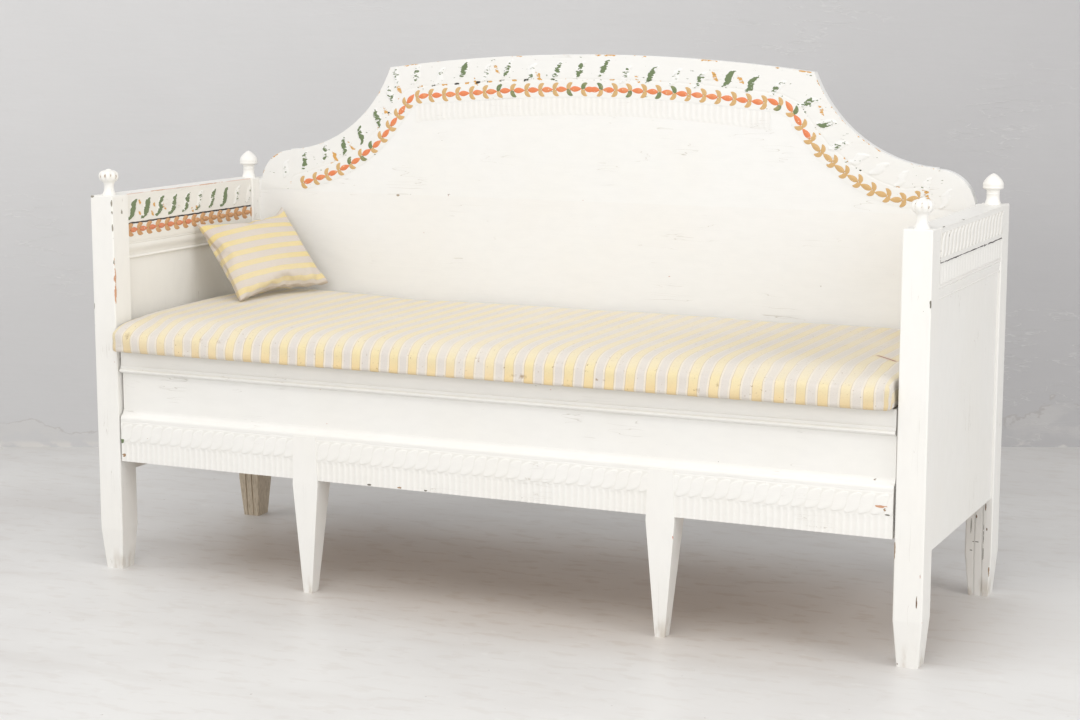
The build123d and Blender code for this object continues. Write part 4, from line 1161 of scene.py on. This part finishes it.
def finish_cover(piece, points, marks, body, material):
    piece.data.vertices.foreach_set("co", points.ravel())
    for mark, values in marks.items():
        piece.data.attributes.new(mark, "FLOAT", "POINT").data.foreach_set("value", values)
    piece.data.materials.append(material)
    smoother = piece.modifiers.new("finer", "SUBSURF")
    smoother.levels = smoother.render_levels = 1
    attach(piece, body)
    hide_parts(body)


mattress_low, mattress_high = (np.array(corner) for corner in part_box("mattress"))
mattress_middle = (mattress_low + mattress_high) / 2
mattress_half = (mattress_high - mattress_low) / 2 - (0.003, 0.003, 0.0)
EDGE_ROUND, FOOT_ROUND, SWELL = 0.009, 0.004, 0.006


def mattress_point(a, b, c):
    """Points of the cover before it is stuffed: a box with soft edges, which is low by the swell."""
    low, high = mattress_middle - mattress_half, mattress_middle + mattress_half - (0, 0, SWELL)
    place = (low + high) / 2 + (high - low) / 2 * (a, b, c)
    softness = FOOT_ROUND if c < 0 else EDGE_ROUND
    core = np.clip(place, low + softness, high - softness)
    out = place - core
    far = np.linalg.norm(out)
    if far > 0:
        place = core + out * (min(far, softness) / far)
    # It is thinner along the front, and fills out towards the back.
    full = 1 - 0.34 * math.exp((low[1] - place[1]) / 0.036)
    return np.array((place[0], place[1], low[2] + (place[2] - low[2]) * full))


cover = box_skin("mattress_cover", (118, 43, 6), mattress_point)
points = points_of(cover.data)
# Round the ends the stripes turn down with the cloth, but not where it turns down the front too.
down_the_end = np.clip(mattress_high[2] - points[:, 2], 0, 1) * (np.abs(points[:, 0]) > 0.879)
down_the_end *= np.clip((points[:, 1] - mattress_low[1]) / 0.014, 0, 1)
marks = {
    "across": points[:, 0] + 0.0100 + np.sign(points[:, 0]) * down_the_end,
    "along": points[:, 1] + points[:, 2],
    "low": np.clip(1 - (points[:, 2] - mattress_low[2]) / 0.042, 0, 1) * (points[:, 1] < -0.32),
    "seam_and_shade": np.clip(1 - np.abs(points[:, 2] - mattress_low[2] - 0.004) / 0.010, 0, 1),
    "top": np.clip((points[:, 1] - mattress_low[1] - 0.010) / 0.010, 0, 1),
}
held = np.flatnonzero(points[:, 2] < mattress_low[2] + 0.002).tolist()
move = stuffed(cover, 0.5, 12, 0.008, held) - points
far = np.maximum(np.linalg.norm(move, axis=1, keepdims=True), 1e-9)
points = points + move / far * SWELL * np.tanh(far / SWELL)
points[:, 2] = np.maximum(points[:, 2], mattress_low[2])
# The filling reaches right to the ends.
to_the_end = np.clip((np.abs(points[:, 0]) - 0.86) / 0.026, 0, 1)
points[:, 0] += 0.003 * np.sign(points[:, 0]) * to_the_end
# The leaning pillow has pushed the filling up at the left end.
heaped = np.exp(-((points[:, 0] + 0.75) / 0.20) ** 2 - ((points[:, 1] - 0.15) / 0.29) ** 2)
points[:, 2] += 0.0105 * heaped * np.clip((points[:, 2] - mattress_low[2]) / 0.066, 0, 1) ** 2
MATTRESS_FRONT = -0.3385
# Each is its place along X and Z, its reach along them, and how strong it is.
MATTRESS_STAINS = [
    (-0.6526, 0.547, 0.010, 0.010, 0.55), (-0.604, 0.5457, 0.009, 0.009, 0.5),
    (0.0192, 0.5477, 0.006, 0.010, 0.75), (0.006, 0.549, 0.009, 0.003, 0.45),
    (0.1206, 0.5196, 0.013, 0.010, 0.70), (0.100, 0.520, 0.014, 0.006, 0.35),
    (0.2835, 0.5248, 0.006, 0.005, 0.75), (0.300, 0.524, 0.010, 0.003, 0.35),
    (0.7944, 0.5578, 0.004, 0.005, 0.6), (0.540, 0.533, 0.005, 0.008, 0.5),
    (0.500, 0.520, 0.008, 0.006, 0.35), (-0.840, 0.545, 0.012, 0.014, 0.35),
]
mattress_stains = [
    ((x, MATTRESS_FRONT, z), (reach_x, 0.02, reach_z), strength)
    for x, z, reach_x, reach_z, strength in MATTRESS_STAINS
]
MATTRESS_CREASES = [((0.7916, -0.114), -0.799, 0.0895)]
mattress_cotton = striped_cotton("mattress_cotton", (0.740, 0.690, 0.640), (0.865, 0.745, 0.445), 1.0,
                                 mattress_stains, MATTRESS_CREASES)
finish_cover(cover, points, marks, "mattress", mattress_cotton)


# --- pillows -------------------------------------------------------------------------------
# Two small pillows of the same cotton: one leans back in the left corner, the other stands in
# the right one. Their stripes run level, and the seam ends in a pointed ear at each corner.

PILLOW_SIZE = (0.074, 0.270, 0.215)
PILLOW_CLOTH = (0.300, 0.242)
# How far each is turned about Z, leans, and rolls on its foot, how far it sits off its box, and
# how much of its ears shows.
PILLOW_POSES = {
    "left": (-19, -39.5, 3.2, (0.002, -0.021, 0.0145), 1.0),
    "right": (0, 11, 0, (0, -0.0035, 0), 0.35),
}
# The corners' ears, by the corner along Y and Z: how far each is drawn out, along Y and Z.
PILLOW_EARS = {
    (1, 1): (0.002, 0.019),
    (1, -1): (0.011, 0.003),
    (-1, 1): (-0.004, 0.004),
    (-1, -1): (-0.003, -0.003),
}
SEAT_TOP = mattress_high[2]


def pillow_point(c, a, b):
    """The two cloths of the cover, sewn round the edge and a little apart in the middle."""
    flat = max(abs(a), abs(b))
    apart = 0.0035 + 0.010 * (1 - flat ** 2)
    return Vector((c * apart, a * PILLOW_CLOTH[0] / 2, b * PILLOW_CLOTH[1] / 2))


for side, (turn, lean, roll, moved, ears) in PILLOW_POSES.items():
    cover = box_skin("pillow_cover_" + side, (1, 56, 46), pillow_point)
    points = points_of(cover.data)
    from_the_edge = 1 - (np.abs(points[:, 1:]) * 2 / PILLOW_CLOTH).max(1)
    marks = {
        "across": points[:, 2] * (STRIPE_PITCH * 7.15 / PILLOW_CLOTH[1]) + STRIPE_PITCH * 0.25,
        "along": points[:, 1],
        "seam_and_shade": np.clip(1 - 4 * from_the_edge / 0.09, 0, 1),
        "low": np.zeros(len(points)),
        "top": np.zeros(len(points)),
    }
    points = stuffed(cover, 2.8, 21, 0.0)
    points = points - (points.max(0) + points.min(0)) / 2
    points = points * PILLOW_SIZE / (points.max(0) - points.min(0))
    # Its own weight draws the filling down, and the foot creases where it rests on the seat.
    for (y_side, z_side), drawn in PILLOW_EARS.items():
        corner = y_side * PILLOW_SIZE[1] / 2, z_side * PILLOW_SIZE[2] / 2
        to_corner = np.hypot(points[:, 1] - corner[0], points[:, 2] - corner[1])
        points[:, 1:] += np.clip(1 - to_corner / 0.042, 0, 1)[:, None] ** 1.6 * drawn * ears
    down = np.clip((-points[:, 2] / (PILLOW_SIZE[2] / 2) - 0.55) / 0.45, 0, 1)
    points[:, 0] *= 1 + 0.10 * np.clip(-points[:, 2] / 0.11, -1, 1)
    points[:, 0] += 0.0045 * down * np.sin(points[:, 1] * 150 + 1.0) * np.sign(points[:, 0])
    posed = Matrix.Rotation(math.radians(turn), 3, "Z") @ Matrix.Rotation(math.radians(lean), 3, "Y")
    posed = posed @ Matrix.Rotation(math.radians(roll), 3, "X")
    low, high = (np.array(corner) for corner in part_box("pillow_" + side))
    points = points @ np.array(posed).T + (low + high) / 2 + moved
    points[:, 2] += SEAT_TOP - 0.0065 + moved[2] - points[:, 2].min()
    points[:, 2] = np.maximum(points[:, 2], SEAT_TOP + 0.0012)
    pillow_cotton = striped_cotton("pillow_cotton_" + side, (0.725, 0.645, 0.580), (0.87, 0.705, 0.310), 0.0)
    finish_cover(cover, points, marks, "pillow_" + side, pillow_cotton)


# --- studio --------------------------------------------------------------------------------
# A pale worn concrete floor in front of a grey plastered wall, under broad soft lamps.

def slab(name, corners, material):
    """One flat face of the studio."""
    mesh = bpy.data.meshes.new(name)
    mesh.from_pydata(corners, [], [(0, 1, 2, 3)])
    mesh.materials.append(material)
    piece = bpy.data.objects.new(name, mesh)
    bpy.context.scene.collection.objects.link(piece)
    return piece


floor = Finish("studio_floor")
cloud = floor.grit(1.6, (1, 1, 1), 5.0)
speck = floor.grit(26, (1, 1, 1), 4.0, 5.0)
pits = floor.grit(60, (1, 1, 1), 2.0, 2.0)
scuffs = floor.grit(9, (4, 1, 1), 5.0, 8.0)
floor_colour = floor.mix(cloud.between(0.35, 0.7), (0.745, 0.74, 0.73), (0.68, 0.67, 0.66))
floor_colour = floor.mix(scuffs.between(0.45, 0.75) * 0.35, floor_colour, (0.60, 0.575, 0.55))
floor_colour = floor.mix(speck.between(0.6, 0.75) * 0.25, floor_colour, (0.82, 0.82, 0.81))
floor_colour = floor.mix(pits.between(0.745, 0.775) * 0.5, floor_colour, (0.33, 0.29, 0.26))
smears = floor.grit(34, (2.2, 1, 1), 4.0, 6.0)
# Painted shadow: the floor is darker and warmer under the bench, where its shadow falls, and the smears are
# stronger there.
painted_bench_shadow = floor.around((0.1, 0.0, 0.0), (1.25, 0.60, 1.0)).between(0.0, 0.7)
smeared = smears.between(0.52, 0.66) * (painted_bench_shadow * 0.30 + 0.12)
floor_colour = floor.mix(smeared, floor_colour, (0.47, 0.40, 0.34))
floor_colour = floor.mix(painted_bench_shadow * 0.50, floor_colour, (0.56, 0.475, 0.395))
# Painted light: the floor is paler to the front right and beside the right end, as if more lamp light falls
# there.
lit = floor.around((1.9, -1.3, 0.0), (1.9, 1.3, 1.0))
lit = lit.most(floor.around((1.35, 0.15, 0.0), (0.55, 0.75, 1.0)))
floor_colour = floor.mix(lit.between(0.0, 0.6) * 0.6, floor_colour, (0.83, 0.825, 0.815))
floor.give(Base_Color=floor_colour, Roughness=cloud * 0.2 + 0.34)
slab("studio_floor", [(-9, -9, 0), (9, -9, 0), (9, 9, 0), (-9, 9, 0)], floor.material)

CAMERA_PLACE = Vector((1.9609, -4.2693, 1.2459))
CAMERA_TURN, CAMERA_DIP, CAMERA_LENS = 0.429, 0.158, 72.46
WALL_DISTANCE = 6.21
forward = Vector((-math.sin(CAMERA_TURN), math.cos(CAMERA_TURN), 0))
sideways = Vector((math.cos(CAMERA_TURN), math.sin(CAMERA_TURN), 0))
wall_middle = Vector((CAMERA_PLACE.x, CAMERA_PLACE.y, 0)) + forward * WALL_DISTANCE
wall = Finish("studio_wall")
plaster = wall.grit(3, (1, 1, 1), 6.0)
wall_x, _, wall_z = wall.axes()
# Painted shade: the wall darkens towards the right and towards the floor, as the light falls off, and the
# plaster's own tone also varies at random.
painted_shade_right_and_low = wall_x.between(-0.7, 0.9) * 0.75 + (1 - wall_z.between(0.2, 1.3)) * 0.25
shade_and_plaster_tone = painted_shade_right_and_low + (plaster - 0.5) * 0.25
wall_colour = wall.mix(shade_and_plaster_tone, (0.640, 0.638, 0.642), (0.505, 0.500, 0.508))
trowel = wall.grit(26, (5, 5, 1), 4.0, 2.0)
ridges = 1 - abs(trowel - 0.5).between(0.0, 0.012)
ridges = ridges * wall.grit(2.2, (1, 1, 1), 2.0, 8.0).between(0.50, 0.62)
wall_colour = wall.mix(ridges * 0.32, wall_colour, (0.74, 0.735, 0.73))
# Its paint has come off in a ragged band above the floor.
crumbs = wall.grit(24, (2, 2, 1), 5.0, 4.0)
peeled = (0.16 - wall_z) * 7 + (plaster - 0.5) * 3.5 + (crumbs - 0.5) * 0.9
bared = peeled.between(0.40, 0.46) * crumbs.between(0.42, 0.62)
wall_colour = wall.mix(bared * 0.30, wall_colour, (0.66, 0.645, 0.625))
outline = (1 - abs(peeled - 0.42).between(0.0, 0.05)) * crumbs.between(0.44, 0.54)
wall_colour = wall.mix(outline * 0.30, wall_colour, (0.36, 0.32, 0.29))
skirting = (1 - wall_z.between(0.008, 0.022)) * crumbs.between(0.46, 0.54)
wall_colour = wall.mix(skirting * 0.6, wall_colour, (0.74, 0.72, 0.69))
wall.give(Base_Color=wall_colour, Roughness=0.8)
wall.bumped(plaster + trowel * 0.35 + ridges * 0.10, 0.004)
# Seen from behind, the wall is clear, so that the bench's back can be looked at.
clear = wall.add("ShaderNodeBsdfTransparent", {}, {})
behind = wall.add("ShaderNodeNewGeometry", {}, {}, "Backfacing")
plastered = Number(wall, wall.surface.outputs[0])
shown = wall.add("ShaderNodeMixShader", {}, {0: behind, 1: plastered, 2: clear})
wall.set(wall.tree.nodes["Material Output"].inputs[0], shown)
wall_corners = [wall_middle + sideways * a + Vector((0, 0, b)) for a, b in ((-8, 0), (8, 0), (8, 5), (-8, 5))]
slab("studio_wall", wall_corners, wall.material)


def lamp(name, place, target, size, power):
    """A broad soft lamp, of size metres and power watts, that faces a target."""
    light = bpy.data.lights.new(name, "AREA")
    light.shape = "RECTANGLE"
    light.size, light.size_y = size
    light.energy = power
    lamp_object = bpy.data.objects.new(name, light)
    bpy.context.scene.collection.objects.link(lamp_object)
    lamp_object.location = place
    lamp_object.rotation_euler = (Vector(target) - Vector(place)).to_track_quat("-Z", "Y").to_euler()


lamp("softbox_front", (1.0, -5.2, 2.2), (0, 0, 0.6), (2.6, 1.8), 70)
lamp("softbox_right", (4.2, -1.0, 2.2), (0.2, 0, 0.6), (2.4, 2.0), 55)
lamp("softbox_top", (0.2, -1.9, 3.4), (0.1, 0, 0.2), (3.2, 2.4), 41)
lamp("softbox_left", (-3.8, -1.5, 2.6), (0, 0, 0.6), (2.4, 2.0), 32)

world = bpy.data.worlds.new("studio_light")
bpy.context.scene.world = world
world.use_nodes = True
sky = world.node_tree.nodes["Background"]
sky.inputs["Color"].default_value = (1.0, 0.98, 0.955, 1)
sky.inputs["Strength"].default_value = 0.595

camera_data = bpy.data.cameras.new("camera")
camera_data.lens = CAMERA_LENS
camera_data.sensor_width = 36.0
camera = bpy.data.objects.new("camera", camera_data)
bpy.context.scene.collection.objects.link(camera)
camera.location = CAMERA_PLACE
camera.rotation_euler = (math.pi / 2 - CAMERA_DIP, 0, CAMERA_TURN)
bpy.context.scene.camera = camera
bpy.context.scene.view_settings.view_transform = "Standard"
